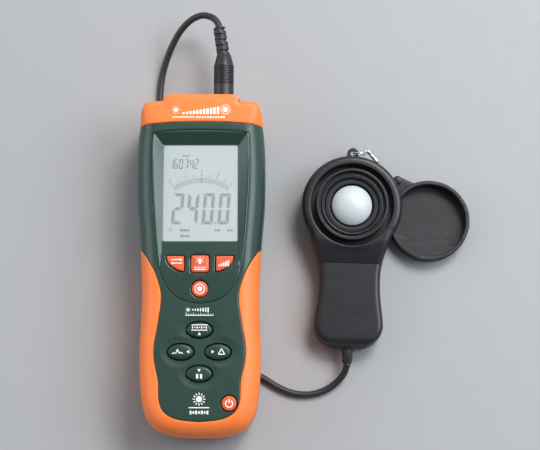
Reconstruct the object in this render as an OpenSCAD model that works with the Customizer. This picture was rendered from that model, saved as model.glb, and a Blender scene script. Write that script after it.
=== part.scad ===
/* [Meter case] */
// Width of the case at its widest
body_w = 75; // [72:0.5:78]
// Height of the front face above the table
face_z = 48; // [46:0.5:50]
// Height of the case's back above the table
back_z = 5; // [4.8:0.1:6]
// Height of the joint between the front and rear case
split_z = 26; // [22:1:30]
// Wall thickness of the case
wall = 2.5; // [2:0.1:3]
// Thickness of the soft orange grips
grip_t = 2.2; // [1.6:0.1:2.4]

/* [Display] */
// Width of the part of the display that shows
lcd_w = 43.2; // [38:0.2:45]
// Height of the part of the display that shows
lcd_h = 57; // [50:0.5:58]
// How deep the display window lies below the front face
recess = 4; // [3:0.5:4.5]

/* [Keys] */
// Travel of every key
key_travel = 1; // [0.6:0.1:1.1]
// Gap around a key in its hole
key_gap = 0.4; // [0.3:0.05:0.6]
// Half width of an oval key
oval_rx = 7.25; // [6.75:0.25:8]
// Half height of an oval key
oval_ry = 4.4; // [4.2:0.1:5]

/* [Tilt stand] */
// Half width of the tilt stand
stand_half = 20; // [18:0.5:20]
// Radius of the tilt stand's hinge pin
stand_pin_r = 1; // [0.8:0.1:1.2]

/* [Sensor] */
// Radius of the sensor's round head
head_r = 30; // [28.5:0.5:30.5]
// Height of the sensor's handle
handle_z = 16.5; // [15:0.5:18]
// Height of the head's front face
head_z = 20; // [19:0.5:21]
// Radius of the white diffuser dome
dome_r = 12; // [10:0.2:12.4]
// Height of the dome above its seat
dome_h = 5.5; // [4:0.5:5.5]
// Outer radius of the push-on cap
cap_r = 24.5; // [24.4:0.1:24.6]
// Height of the push-on cap
cap_h = 9.5; // [8:0.5:9.5]

/* [Lead] */
// Diameter of the sensor's cord
cord_d = 4; // [3.6:0.2:4]
// Radius of the plug's body
plug_r = 6; // [5:0.5:6.5]

/* [Hidden] */
// The case outline's right half, from the bottom end to the shoulder
side_line = [[0, -101.5], [10.8, -101], [19.7, -99.4], [26, -96.2], [30.4, -90.5], [32.8, -83], [34.2, -72],
    [34.9, -53], [34.2, -35], [33.8, -18], [35, 8], [37, 34], [37.5, 53], [37.1, 68], [36.2, 78],
    [35, 84.8], [32.6, 89.4], [28.4, 92], [23.2, 93.2]];
// The lower ledge at the case's end, above the shoulders
end_line = [[22.4, 94.2], [20.6, 97.3], [17.8, 98.2]];
// The inner edge of the side grip's right half, from the case's side to the bottom
grip_line = [[37, 9.5], [31.3, 2], [26.1, -7], [22.7, -17], [22.2, -25], [24, -38], [26, -50],
    [25.6, -59], [23.3, -70], [22.9, -80], [20.2, -87], [12.8, -91.2], [0, -92.8]];
// The display panel's shield outline, from its top middle down the right side to the bottom
shield_line = [[0, 76], [14, 75.6], [26.2, 74.2], [28.2, 71.4], [28.4, 50], [27.2, 28], [25.8, 10],
    [23.2, -6.3], [17, -18.5], [9, -24], [0, -25.6]];
// The sensor outline's right half about the head's centre, from the handle's end to the head
paddle_line = [[0, -85], [8, -84.6], [14, -82.3], [18.2, -78.2], [20.3, -73], [20.1, -66.5], [18.9, -58],
    [18.1, -48], [18.4, -38], [20, -30], [23.5, -20.4], [26.3, -14.6]];
grip_top_y = 80.5;                      // top middle of the green front
ledge_y = 94;                           // where the ledge at the case's end begins
ledge_drop = 4.5;                       // how far the ledge lies below the face
lcd_y = [10.5, 10.5 + lcd_h];           // lower and upper edge of the display
window_z = face_z - recess - 1;         // top of the window plate
board_z = 33.5;                         // underside of the main board
board_t = 1.6;
mat_t = 1.5;
mat_z = board_z + board_t;
stem_z = mat_z + mat_t + key_travel + 0.2;
flange_z = face_z - wall - 0.3;         // top of a key's flange
flange_t = 1.1;
key_names = ["units", "backlight", "range", "record", "up", "left", "right", "down", "power"];
key_stems = [[-13, -1.5], [0, -2.7], [13, -1.5], [0, -17.2], [0, -40.7], [-10.6, -53.2], [10.6, -53.2],
    [0, -65.6], [17, -82.3]];
corner_key_z = face_z + 0.2;            // tops of the keys
oval_key_z = face_z + 1.4;
power_key_z = face_z + 0.8;
key_panel_y = 4.8;                      // upper edge of the keys' flat panel
tripod_r = 2.6;                         // wall of the tapped tripod hole
stand_y = [-28, 52];                    // the tilt stand's free end and its hinge line
stand_axis_z = 2.7;
stand_r = 2;
case_screws_at = [[-26, 79], [26, 79], [-26, -76], [26, -76]];
screw_r = 1.5;
feet_at = [[-15, 87], [15, 87]];
battery_box = [26.5, 48.5, 17.5];
battery_y = -84;
plug_x = 12.5;
plug_z = 25;
plug_face_y = 98.3;                     // where the plug's shoulder meets the socket
sensor_at = [88.9, 36.5, 0];            // centre of the sensor's head on the table
sensor_turn = -2;
sensor_split = 12;
ring_r = 21.4;                          // outside of the ring that the cap pushes onto
groove_r = 25.2;
end_y = 98.7;                           // how far the case reaches at the plug's end
foot_y = 102;                           // how far it reaches at the end by the tripod foot
port_back_y = 86.7;                     // back face of the data port
groove_z = 15;
ring_z = 22;
seat_z = 16.5;                          // the dome's seat
drum_r = 22;                            // foot under the sensor's head
drum_z = 10;
lug_y = 32.5;
sensor_screws_y = [-14, -72];
cap_at = [135.6, 28.7, 0];
cap_inner_r = 22;
ear_at = [117, 53, 0];
ear_z = [5.5, 8.5];
ear_hole_r = 1.6;
tether_r = 0.8;
clasp_from = [98.6, 71, 11.5];
clasp_to = [104.6, 64.6, 8.6];
e = 0.01;

// Points that the cord follows, from the plug's strain relief to the sensor's grommet
cord_route = [[9.5, 143.4, 25], [8.7, 146.2, 24.8], [6.6, 149, 24.2], [3.2, 151, 23.2], [-1.2, 151.8, 21.8],
    [-6, 150.6, 19.6], [-10.9, 147.6, 16.6], [-15.6, 142.6, 12.8], [-19.9, 135.5, 8.8], [-23.5, 127, 5.2],
    [-26, 117.5, 2.8], [-27, 107, 2], [-27, 92, 2], [-27, 66, 2], [-27, 36, 2], [-27, 6, 2], [-27, -20, 2],
    [-25.5, -38, 2], [-20, -50, 2], [-10, -57.5, 2], [3, -60.5, 2], [17, -60.5, 2], [28, -61.8, 2],
    [36, -65.2, 2], [43, -69.6, 2], [50, -73, 2], [57.5, -74.8, 2], [66, -74.6, 2], [74, -71.8, 2.3],
    [80, -67.4, 3.6], [83.8, -62.8, 5.8], [85.5, -58.2, 8.1]];

// A smooth line through the points p, with n steps between two of them
function smooth(p, n) = concat(
    [for (i = [0 : len(p) - 2], k = [0 : n - 1])
        let (t = k / n, a = p[max(i - 1, 0)], b = p[i], c = p[i + 1], d = p[min(i + 2, len(p) - 1)])
        0.5 * (2 * b + (c - a) * t + (2 * a - 5 * b + 4 * c - d) * t * t
            + (3 * b - a - 3 * c + d) * t * t * t)],
    [p[len(p) - 1]]);

// A closed outline from its right half, whose ends lie on the middle line or face each other
function both_sides(half) = concat(half,
    [for (i = [len(half) - 1 : -1 : 0]) if (half[i][0] > e) [-half[i][0], half[i][1]]]);

// A quarter of an ellipse about c, from angle a0 to a1
function bend(c, rx, ry, a0, a1, n = 6) =
    [for (k = [0 : n]) let (a = a0 + (a1 - a0) * k / n) [c[0] + rx * cos(a), c[1] + ry * sin(a)]];

module case_outline(inset = 0) {
    offset(delta = -inset)
        scale([body_w / 75, 1])
            polygon(both_sides(concat(smooth(side_line, 3), end_line)));
}

// The case's rounded block, with its sides drawn in by inset and running from zb to zt
module case_block(inset, zb, zt) {
    half = body_w / 2 + 1 - inset;
    end = end_y - inset;
    foot = foot_y - inset;
    intersection() {
        translate([0, 0, zb]) linear_extrude(zt - zb) case_outline(inset);
        translate([0, 110, 0]) rotate([90, 0, 0]) linear_extrude(220)
            polygon(both_sides(concat([[0, zb]], bend([half - 5, zb + 5], 5, 5, -90, 0, 3),
                bend([half - 11, zt - 12], 11, 12, 0, 90), [[0, zt]])));
        rotate([90, 0, 90]) translate([0, 0, -50]) linear_extrude(100)
            polygon(concat(
                bend([end - 4, zb + 4], 4, 4, -90, 0, 3),
                bend([end - 3, zt - ledge_drop - 3], 3, 3, 0, 90, 3),
                [[ledge_y - inset, zt - ledge_drop], [ledge_y - inset - 0.5, zt]],
                bend([12 - foot, zt - 14], 12, 14, 90, 180), bend([6 - foot, zb + 6], 6, 6, 180, 270, 3)));
    }
}

module top_mask() {
    polygon(concat(
        [for (x = [-40 : 8 : 40]) [x, grip_top_y - 2 * pow(x / 36, 2)]],
        [[40, 110], [-40, 110]]));
}

module side_mask() {
    difference() {
        translate([-42, -110]) square([84, 119]);
        polygon(both_sides(concat([[0, 20], [37, 20]], smooth(grip_line, 3))));
    }
}

module masks() {
    translate([0, 0, -1]) linear_extrude(70) {
        top_mask();
        side_mask();
    }
}

module case_solid() {
    difference() {
        case_block(0, back_z, face_z);
        masks();
    }
    case_block(grip_t, back_z, face_z - grip_t);
}

module case_cavity() {
    case_block(wall + grip_t, back_z + wall, face_z - wall);
}

module above(z) {
    translate([-60, -120, z]) cube([120, 240, 60]);
}

module shield(inset = 0) {
    offset(delta = -inset) polygon(both_sides(smooth(shield_line, 3)));
}

module lcd_window(grow = 0) {
    translate([-lcd_w / 2 - grow, lcd_y[0] - grow]) square([lcd_w + 2 * grow, lcd_h + 2 * grow]);
}

// The panel's sunk space: deep around the display, almost flush at its lower tip
module panel_recess(grow = 0) {
    hull() {
        translate([0, 0, face_z]) linear_extrude(0.5) shield(-grow);
        translate([0, 0, face_z - recess - grow]) linear_extrude(0.5) lcd_window(grow);
        translate([0, 0, face_z - 1 - grow]) linear_extrude(0.5) intersection() {
            shield(0.6 - grow);
            translate([-30, -40]) square([60, 50]);
        }
    }
}

module oval(grow = 0) {
    scale([1, (oval_ry + grow) / (oval_rx + grow)]) circle(oval_rx + grow, $fn = 40);
}

// The left soft key: square at its inner and upper sides, curved below
module corner_key(grow = 0) {
    offset(delta = grow) polygon(concat(smooth([[-9.2, -6.9], [-13, -5.7], [-16.7, -2.3], [-19, 1.8]], 4),
        [[-9.2, 1.8]]));
}

module square_key(grow = 0) {
    offset(r = 1 + grow, $fn = 24) square([8, 7.6], center = true);
}

// Keys: plan shape of each, where it stands
module key_plan(name, grow = 0) {
    if (name == "units") corner_key(grow);
    if (name == "range") mirror([1, 0]) corner_key(grow);
    if (name == "backlight") translate([0, -2.7]) square_key(grow);
    if (name == "record") translate([0, -17.2]) circle(4.6 + grow, $fn = 40);
    if (name == "up") translate([0, -40.7]) oval(grow);
    if (name == "left") translate([-10.6, -53.2]) oval(grow);
    if (name == "right") translate([10.6, -53.2]) oval(grow);
    if (name == "down") translate([0, -65.6]) oval(grow);
    if (name == "power") translate([17, -82.3]) circle(4.2 + grow, $fn = 40);
}

// A key, the flange that holds it behind the face, and the stem that reaches down to its contact.
// The power key stands where the face starts to curve away, so its flange is smaller and lower.
module key(index, top, tint) {
    name = key_names[index];
    at_edge = name == "power";
    flange_top = flange_z - (at_edge ? 0.5 : 0);
    flange_w = at_edge ? 0.7 : 1.1;
    color(tint) {
        translate([0, 0, flange_top - flange_t]) linear_extrude(top - flange_top + flange_t) key_plan(name);
        translate([0, 0, flange_top - flange_t]) linear_extrude(flange_t) key_plan(name, flange_w);
        translate([key_stems[index][0], key_stems[index][1], stem_z])
            cylinder(r = 1.8, h = flange_top - stem_z, $fn = 24);
    }
}

module screw_bosses(z0, z1) {
    for (p = case_screws_at) translate([p[0], p[1], z0]) cylinder(r = 3.6, h = z1 - z0, $fn = 32);
}

module socket_hole(r) {
    translate([plug_x, 88, plug_z]) rotate([-90, 0, 0]) cylinder(r = r, h = 20, $fn = 48);
}

module port_hole(grow = 0) {
    translate([-17 - grow, 88, plug_z - 2 - grow]) cube([8 + 2 * grow, 20, 4 + 2 * grow]);
}

module front_case() {
    color("darkslategray") difference() {
        union() {
            intersection() {
                difference() {
                    case_solid();
                    case_cavity();
                }
                above(split_z);
            }
            intersection() {
                difference() {
                    panel_recess(1.6);
                    translate([0, 0, face_z - wall / 2]) above(0);
                }
                case_block(wall, split_z, face_z);
                translate([-40, key_panel_y, 0]) cube([80, 90, 60]);
            }
            intersection() {
                screw_bosses(split_z, face_z - wall + e);
                case_block(grip_t + 0.1, split_z - 1, face_z - grip_t - 0.1);
            }
        }
        panel_recess();
        translate([0, 0, 30]) linear_extrude(30) lcd_window();
        for (name = key_names) translate([0, 0, 30]) linear_extrude(30) key_plan(name, key_gap);
        for (p = case_screws_at) translate([p[0], p[1], split_z - 1])
            cylinder(r = screw_r, h = 11, $fn = 24);
        socket_hole(7.05);
        port_hole(1);
    }
}

module rear_case() {
    color("darkslategray") difference() {
        union() {
            difference() {
                case_solid();
                case_cavity();
                above(split_z);
            }
            screw_bosses(back_z + 1, split_z);
            // walls around the battery
            translate([-16.5, battery_y - 2.5, back_z + 1]) cube([33, battery_box[1] + 5, 15]);
            // ears of the tilt stand's hinge
            for (s = [-1, 1]) translate([s * (stand_half + 1.8) - 1.5, stand_y[1] - 3, 0.7])
                cube([3, 6, back_z - 0.2]);
            translate([0, 0, back_z]) cylinder(r = 9, h = 12, $fn = 48);
        }
        translate([-15, battery_y - 1, back_z - 1]) cube([30, battery_box[1] + 2, 30]);
        translate([-6, battery_y - 5.4, back_z - 1]) cube([12, 8, 3.4]);
        for (p = case_screws_at) {
            translate([p[0], p[1], 0]) cylinder(r = screw_r + 0.1, h = split_z + 1, $fn = 24);
            translate([p[0], p[1], 0]) cylinder(r = 3, h = back_z + 4, $fn = 24);
        }
        for (p = feet_at) translate([p[0], p[1], 0]) cylinder(r = 5, h = back_z + 1.2, $fn = 32);
        translate([-20, -96, 0]) cube([40, 5.5, back_z + 1.2]);
        translate([-30, stand_y[1], stand_axis_z]) rotate([0, 90, 0])
            cylinder(r = stand_pin_r, h = 60, $fn = 24);
        cylinder(r = 7, h = 14, $fn = 48);
        socket_hole(7.05);
        port_hole(1);
    }
}

module grip(top) {
    difference() {
        intersection() {
            case_block(0, back_z, face_z);
            translate([0, 0, -1]) linear_extrude(70) {
                if (top) top_mask();
                else side_mask();
            }
        }
        case_block(grip_t, back_z - 1, face_z - grip_t);
        translate([0, 0, -1]) case_block(grip_t, back_z - 1, 20);
        socket_hole(7.05);
        port_hole(1);
    }
}

module top_grip() { color("darkorange") grip(true); }
module side_grip() { color("darkorange") grip(false); }

module display_window() {
    color("lightgray", 0.5) translate([0, 0, window_z - 1.5 - 0.6]) linear_extrude(1.5) lcd_window(1.4);
}

module lcd_panel() {
    color("silver") translate([-23.5, 5.5, 37.9]) cube([47, 65, 2.8]);
}

module backlight_panel() {
    color("white") translate([-23.5, 10, 35.9]) cube([47, 60, 2]);
}

module lcd_frame() {
    color("gray") difference() {
        translate([-26.4, 2.8, mat_z]) cube([52.8, 69, 5.6]);
        translate([-23.5, 5.5, mat_z - 1]) cube([47, 65, 8]);
    }
}

module lcd_contact_strip() {
    color("hotpink") translate([-21, 6.2, mat_z]) cube([42, 2, 37.9 - mat_z]);
}

module main_board() {
    color("green") difference() {
        translate([-27, -71, board_z]) cube([54, 144, board_t]);
        for (x = [-1, 1]) translate([23 * x, 60, board_z - 1]) cylinder(r = 1.5, h = 4, $fn = 24);
    }
    color("green") translate([10, -88, board_z]) cube([11, 17, board_t]);
}

module keypad_mat() {
    color("dimgray") translate([-22, -70.5, mat_z]) cube([44, 71.5, mat_t]);
    color("dimgray") translate([11, -87, mat_z]) cube([9, 16.5, mat_t]);
}

module sensor_socket() {
    color("black") translate([plug_x, 0, plug_z]) rotate([-90, 0, 0]) difference() {
        translate([0, 0, plug_face_y - 13.6]) cylinder(r = 7, h = 13.4, $fn = 48);
        translate([0, 0, plug_face_y - 11.6]) cylinder(r = 4.8, h = 13.4, $fn = 48);
    }
}

module data_port() {
    color("silver") difference() {
        translate([-17, port_back_y, plug_z - 2]) cube([8, 9.5, 4]);
        translate([-16.5, 87.7, plug_z - 1.5]) cube([7, 10, 3]);
    }
}

module battery() {
    color("gold") translate([-battery_box[0] / 2, battery_y, back_z + 2.9]) cube(battery_box);
}

module battery_snap() {
    color("black") translate([-12, battery_y + battery_box[1] + 0.1, back_z + 6]) cube([24, 0.8, 12]);
}

module battery_cover() {
    color("darkslategray") difference() {
        union() {
            translate([-14.7, battery_y - 0.7, back_z]) cube([29.4, battery_box[1] + 1.4, 2]);
            translate([-5.7, battery_y - 5.1, back_z]) cube([11.4, 5, 2]);
        }
        translate([0, battery_y - 2.6, back_z - 1]) cylinder(r = 1.2, h = 8, $fn = 24);
        translate([0, battery_y - 2.6, back_z - 1]) cylinder(r = 2.3, h = 2, $fn = 24);
    }
}

module battery_cover_screw() {
    color("silver") translate([0, battery_y - 2.6, back_z]) {
        cylinder(r = 1.1, h = 2.4, $fn = 24);
        cylinder(r = 2.2, h = 1, $fn = 24);
    }
}

module case_screws() {
    color("silver") for (p = case_screws_at) translate([p[0], p[1], 0]) {
        translate([0, 0, back_z + 4]) cylinder(r = screw_r, h = split_z - back_z + 4, $fn = 24);
        translate([0, 0, back_z + 2]) cylinder(r = 2.8, h = 2, $fn = 24);
    }
}

module rubber_feet() {
    color("black") {
        for (p = feet_at) translate([p[0], p[1], 0]) cylinder(r = 5, h = back_z + 1.2, $fn = 32);
        translate([-20, -96, 0]) cube([40, 5.5, back_z + 1.2]);
    }
}

module tilt_stand() {
    color("darkslategray") difference() {
        union() {
            translate([-stand_half, stand_y[0], 0.7])
                cube([2 * stand_half, stand_y[1] - stand_y[0] - 1, 3.8]);
            translate([-stand_half, stand_y[1], stand_axis_z]) rotate([0, 90, 0])
                cylinder(r = stand_r, h = 2 * stand_half, $fn = 32);
        }
        translate([-12.5, stand_y[0] + 12, -1]) cube([25, 52, 8]);
        translate([-30, stand_y[1], stand_axis_z]) rotate([0, 90, 0])
            cylinder(r = stand_pin_r + 0.06, h = 60, $fn = 24);
    }
}

module stand_pin() {
    color("silver") translate([-stand_half - 3.2, stand_y[1], stand_axis_z]) rotate([0, 90, 0])
        cylinder(r = stand_pin_r, h = 2 * stand_half + 6.4, $fn = 24);
}

module tripod_insert() {
    color("goldenrod") difference() {
        cylinder(r = 7, h = 14, $fn = 48);
        translate([0, 0, -1]) cylinder(r = tripod_r, h = 11, $fn = 32);
    }
}

module units_key() { key(0, corner_key_z, "orangered"); }
module backlight_key() { key(1, corner_key_z, "orangered"); }
module range_key() { key(2, corner_key_z, "orangered"); }
module record_key() { key(3, corner_key_z, "orangered"); }
module up_key() { key(4, oval_key_z, "slategray"); }
module left_key() { key(5, oval_key_z, "slategray"); }
module right_key() { key(6, oval_key_z, "slategray"); }
module down_key() { key(7, oval_key_z, "slategray"); }
module power_key() { key(8, power_key_z, "orangered"); }

module plug_body() {
    color("dimgray") translate([plug_x, plug_face_y, plug_z]) rotate([-90, 0, 0]) difference() {
        union() {
            cylinder(r = plug_r, h = 22.4, $fn = 48);
            translate([0, 0, 22.4]) cylinder(r1 = plug_r, r2 = 4, h = 5.7, $fn = 48);
        }
        for (k = [0 : 7]) translate([0, 0, 10.2 + 1.4 * k]) difference() {
            cylinder(r = plug_r + 1, h = 0.6, $fn = 48);
            translate([0, 0, -1]) cylinder(r = plug_r - 0.4, h = 3, $fn = 48);
        }
    }
}

module plug_nose() {
    color("silver") translate([plug_x, plug_face_y - 10, plug_z]) rotate([-90, 0, 0]) difference() {
        cylinder(r = 4.5, h = 10, $fn = 48);
        translate([0, 0, -1]) cylinder(r = 3.9, h = 8, $fn = 48);
    }
}

// The strain relief leans over as it leaves the plug
module plug_relief() {
    color("dimgray") translate([plug_x - 0.2, 126, plug_z]) rotate([-90, 0, 9]) difference() {
        cylinder(r1 = 3.9, r2 = 3.6, h = 17.6, $fn = 40);
        for (k = [0 : 3]) translate([0, 0, 2.2 + 3.5 * k]) difference() {
            cylinder(r = 6, h = 1.4, $fn = 40);
            translate([0, 0, -1]) cylinder(r = 2.9, h = 4, $fn = 40);
        }
    }
}

function unit(v) = v / norm(v);

// A round tube of radius r along the points p, whose rings stay level and never twist
module tube(p, r, sides) {
    last = len(p) - 1;
    rings = [for (i = [0 : last])
        let (way = unit(p[min(i + 1, last)] - p[max(i - 1, 0)]), side = unit(cross([0, 0, 1], way)),
            up = cross(way, side))
        for (k = [0 : sides - 1])
            let (a = 360 * (k + 0.5) / sides) p[i] + r * (cos(a) * side + sin(a) * up)];
    polyhedron(
        points = rings,
        faces = concat(
            [for (i = [0 : last - 1], k = [0 : sides - 1]) let (m = (k + 1) % sides)
                [i * sides + k, i * sides + m, (i + 1) * sides + m, (i + 1) * sides + k]],
            [[for (k = [sides - 1 : -1 : 0]) k]],
            [[for (k = [0 : sides - 1]) last * sides + k]]));
}

module sensor_cord() {
    color("black") tube(smooth(cord_route, 2), cord_d / 2, 8);
}

module place_sensor() {
    translate(sensor_at) rotate([0, 0, sensor_turn]) children();
}

module paddle_outline(inset = 0) {
    offset(delta = -inset) polygon(both_sides(concat(smooth(paddle_line, 3),
        [for (a = [-18 : 9 : 90]) head_r * [cos(a), sin(a)]])));
}

// Side view of the paddle's front: thick at the head, thinner at the handle
module paddle_side(inset = 0) {
    rotate([90, 0, 90]) translate([0, 0, -40]) linear_extrude(80)
        polygon([[-90, -1], [-90, handle_z - 4 - inset], [-82, handle_z - inset], [-35, handle_z - inset],
            [-30, handle_z + 0.7 - inset], [-25.6, head_z - inset], [40, head_z - inset], [40, -1]]);
}

module paddle_lug() {
    translate([0, lug_y - 4.5, sensor_split - 3]) {
        translate([-3.4, -3, 0]) cube([6.8, 7.5, 3]);
        translate([0, 4.5, 0]) cylinder(r = 3.4, h = 3, $fn = 32);
    }
}

module dome_well(r, z) {
    translate([0, 0, z]) cylinder(r = r, h = 20, $fn = 64);
}

module sensor_front_shell() {
    color([0.25, 0.25, 0.27]) place_sensor() difference() {
        intersection() {
            translate([0, 0, sensor_split]) linear_extrude(12) paddle_outline();
            paddle_side();
        }
        intersection() {
            translate([0, 0, sensor_split - 1]) linear_extrude(12) paddle_outline(2);
            paddle_side(2);
            translate([-40, -90, 0]) cube([80, 64, 30]);
        }
        dome_well(groove_r, groove_z);
        translate([0, 0, sensor_split - 1]) cylinder(r = 19, h = 10, $fn = 64);
        translate([0, -88, 8.5]) rotate([-90, 0, 0]) cylinder(r = 3, h = 8, $fn = 32);
    }
}

module rear_solid() {
    translate([0, 0, drum_z]) cylinder(r1 = drum_r, r2 = head_r, h = sensor_split - drum_z, $fn = 64);
    cylinder(r = drum_r, h = drum_z + 0.5, $fn = 64);
    intersection() {
        linear_extrude(sensor_split) paddle_outline();
        translate([-40, -90, 0]) cube([80, 71, 30]);
    }
}

module sensor_screw_holes() {
    for (y = sensor_screws_y) translate([0, y, -1]) {
        cylinder(r = 1.2, h = 20, $fn = 24);
        cylinder(r = 2.5, h = 2.9, $fn = 24);
    }
}

module sensor_rear_shell() {
    color([0.2, 0.2, 0.22]) place_sensor() difference() {
        union() {
            rear_solid();
            paddle_lug();
        }
        translate([0, 0, 2]) cylinder(r = 19.5, h = 20, $fn = 64);
        intersection() {
            translate([0, 0, 2]) linear_extrude(20) paddle_outline(2);
            translate([-40, -84, 0]) cube([80, 66, 30]);
        }
        translate([0, -88, 8.5]) rotate([-90, 0, 0]) cylinder(r = 3, h = 8, $fn = 32);
        translate([0, lug_y, 0]) cylinder(r = 1.5, h = 30, $fn = 24);
        sensor_screw_holes();
    }
    color([0.2, 0.2, 0.22]) place_sensor() difference() {
        for (y = sensor_screws_y) translate([0, y, 1.9]) cylinder(r = 3, h = sensor_split - 2, $fn = 32);
        sensor_screw_holes();
    }
}

module cap_seat_ring() {
    color([0.3, 0.3, 0.33]) place_sensor() difference() {
        translate([0, 0, groove_z]) cylinder(r = ring_r, h = ring_z - groove_z, $fn = 64);
        translate([0, 0, groove_z - 1]) cylinder(r = 16.2, h = 4, $fn = 64);
        translate([0, 0, seat_z + 1]) cylinder(r1 = 16.2, r2 = 20, h = ring_z - seat_z - 1 + e, $fn = 64);
    }
}

module diffuser_dome() {
    ball = (dome_r * dome_r + dome_h * dome_h) / (2 * dome_h);
    color("white") place_sensor() difference() {
        union() {
            intersection() {
                translate([0, 0, seat_z + dome_h - ball]) sphere(r = ball, $fn = 64);
                translate([0, 0, seat_z]) cylinder(r = dome_r, h = 10, $fn = 64);
            }
            translate([0, 0, seat_z - 1.2]) cylinder(r = dome_r + 1.2, h = 1.2 + e, $fn = 64);
        }
        translate([0, 0, seat_z + dome_h - ball]) sphere(r = ball - 1.6, $fn = 64);
    }
}

module diffuser_retainer() {
    color([0.2, 0.2, 0.22]) place_sensor() difference() {
        translate([0, 0, seat_z - 1.2]) cylinder(r = 16.1, h = 1.7, $fn = 64);
        translate([0, 0, seat_z - 2]) cylinder(r = dome_r + 1.3, h = 2.05, $fn = 64);
        translate([0, 0, seat_z - 2]) cylinder(r = dome_r + 0.05, h = 4, $fn = 64);
    }
}

module filter_glass() {
    color("palegreen") place_sensor() translate([0, 0, 12.6]) cylinder(r = 6, h = 1.5, $fn = 48);
}

module photodiode() {
    color("silver") place_sensor() translate([-5, -5, 9.6]) cube([10, 10, 2.9]);
}

module sensor_board() {
    color("green") place_sensor() difference() {
        translate([0, 0, 8]) cylinder(r = 18, h = 1.6, $fn = 64);
        translate([0, -14, 6]) cylinder(r = 3.2, h = 6, $fn = 32);
    }
}

module sensor_screws() {
    color("silver") place_sensor() for (y = sensor_screws_y) translate([0, y, 0.4]) {
        cylinder(r = 1.2, h = 10, $fn = 24);
        cylinder(r = 2.4, h = 1.4, $fn = 24);
    }
}

module cord_grommet() {
    color("dimgray") place_sensor() translate([0, -93.4, 8.5]) rotate([-90, 0, 0]) {
        cylinder(r1 = 3, r2 = 3.3, h = 8.3, $fn = 40);
        translate([0, 0, 8.3]) cylinder(r = 2.95, h = 2.4, $fn = 40);
    }
}

// Tether: a wire ring in the sensor's lug, a crimped clasp and a loop that holds the cap's ear
module tether_ring() {
    color("silver") translate([94, 69, 10.5]) rotate([90, 0, 0]) rotate_extrude($fn = 40)
        translate([3.6, 0]) circle(r = 0.45, $fn = 16);
}

module rod(a, b, r) {
    way = b - a;
    translate(a) rotate([0, acos(way[2] / norm(way)), atan2(way[1], way[0])])
        cylinder(r = r, h = norm(way), $fn = 24);
}

module tether_clasp() {
    color("silver") rod(clasp_from, clasp_to, 1.1);
}

module tether_loop() {
    knot_at = [ear_at[0], ear_at[1], 10];
    way = [clasp_to, [105.9, 60.4, 8.2], [108.6, 57, 8.6], [112.6, 54.3, 9.3], knot_at];
    color("black") tube(smooth(way, 3), tether_r, 8);
}

// The knot that holds the tether in the cap's ear
module tether_knot() {
    color("black") translate([ear_at[0], ear_at[1], 3]) {
        cylinder(r = 1.5, h = 6, $fn = 24);
        translate([0, 0, 6]) cylinder(r = 2.3, h = 2, $fn = 24);
    }
}

module sensor_cap() {
    color([0.2, 0.2, 0.22]) difference() {
        union() {
            translate(cap_at) cylinder(r = cap_r, h = cap_h, $fn = 64);
            hull() {
                translate([ear_at[0], ear_at[1], ear_z[0]])
                    cylinder(r = 3, h = ear_z[1] - ear_z[0], $fn = 32);
                translate([cap_at[0] - 12, cap_at[1] + 15, ear_z[0]])
                    cylinder(r = 6, h = ear_z[1] - ear_z[0], $fn = 32);
            }
        }
        translate([cap_at[0], cap_at[1], 2]) cylinder(r = cap_inner_r, h = 20, $fn = 64);
        translate([ear_at[0], ear_at[1], -1]) cylinder(r = ear_hole_r, h = 20, $fn = 24);
    }
}

front_case();
rear_case();
top_grip();
side_grip();
display_window();
lcd_panel();
lcd_frame();
backlight_panel();
lcd_contact_strip();
main_board();
keypad_mat();
sensor_socket();
data_port();
battery();
battery_snap();
battery_cover();
battery_cover_screw();
case_screws();
rubber_feet();
stand_pin();
tripod_insert();
tilt_stand();
units_key();
backlight_key();
range_key();
record_key();
up_key();
left_key();
right_key();
down_key();
power_key();
plug_body();
plug_nose();
plug_relief();
sensor_cord();
sensor_front_shell();
sensor_rear_shell();
cap_seat_ring();
diffuser_dome();
diffuser_retainer();
filter_glass();
photodiode();
sensor_board();
sensor_screws();
cord_grommet();
tether_ring();
tether_clasp();
tether_loop();
tether_knot();
sensor_cap();
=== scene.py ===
"""Looks of the light meter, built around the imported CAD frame. Its shapes are drawn in millimetres."""

import math

import bmesh
import bpy
import numpy as np
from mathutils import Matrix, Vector
from mathutils.geometry import delaunay_2d_cdt


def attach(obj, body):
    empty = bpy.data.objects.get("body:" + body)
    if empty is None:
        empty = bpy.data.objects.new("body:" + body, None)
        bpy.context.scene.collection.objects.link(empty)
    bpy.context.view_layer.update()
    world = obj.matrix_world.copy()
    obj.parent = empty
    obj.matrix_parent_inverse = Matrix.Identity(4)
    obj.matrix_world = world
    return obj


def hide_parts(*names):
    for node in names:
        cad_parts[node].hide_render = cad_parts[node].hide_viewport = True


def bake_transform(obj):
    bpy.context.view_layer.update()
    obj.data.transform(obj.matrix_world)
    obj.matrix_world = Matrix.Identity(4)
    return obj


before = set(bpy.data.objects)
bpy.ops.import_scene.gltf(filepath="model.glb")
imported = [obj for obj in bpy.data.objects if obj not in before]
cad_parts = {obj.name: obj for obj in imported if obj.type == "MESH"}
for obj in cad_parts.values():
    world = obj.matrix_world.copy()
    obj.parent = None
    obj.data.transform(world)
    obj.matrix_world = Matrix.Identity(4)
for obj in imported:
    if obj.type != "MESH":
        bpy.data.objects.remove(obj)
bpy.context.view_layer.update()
MM = 0.001                      # one millimetre in metres


# ---- camera and light

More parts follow.
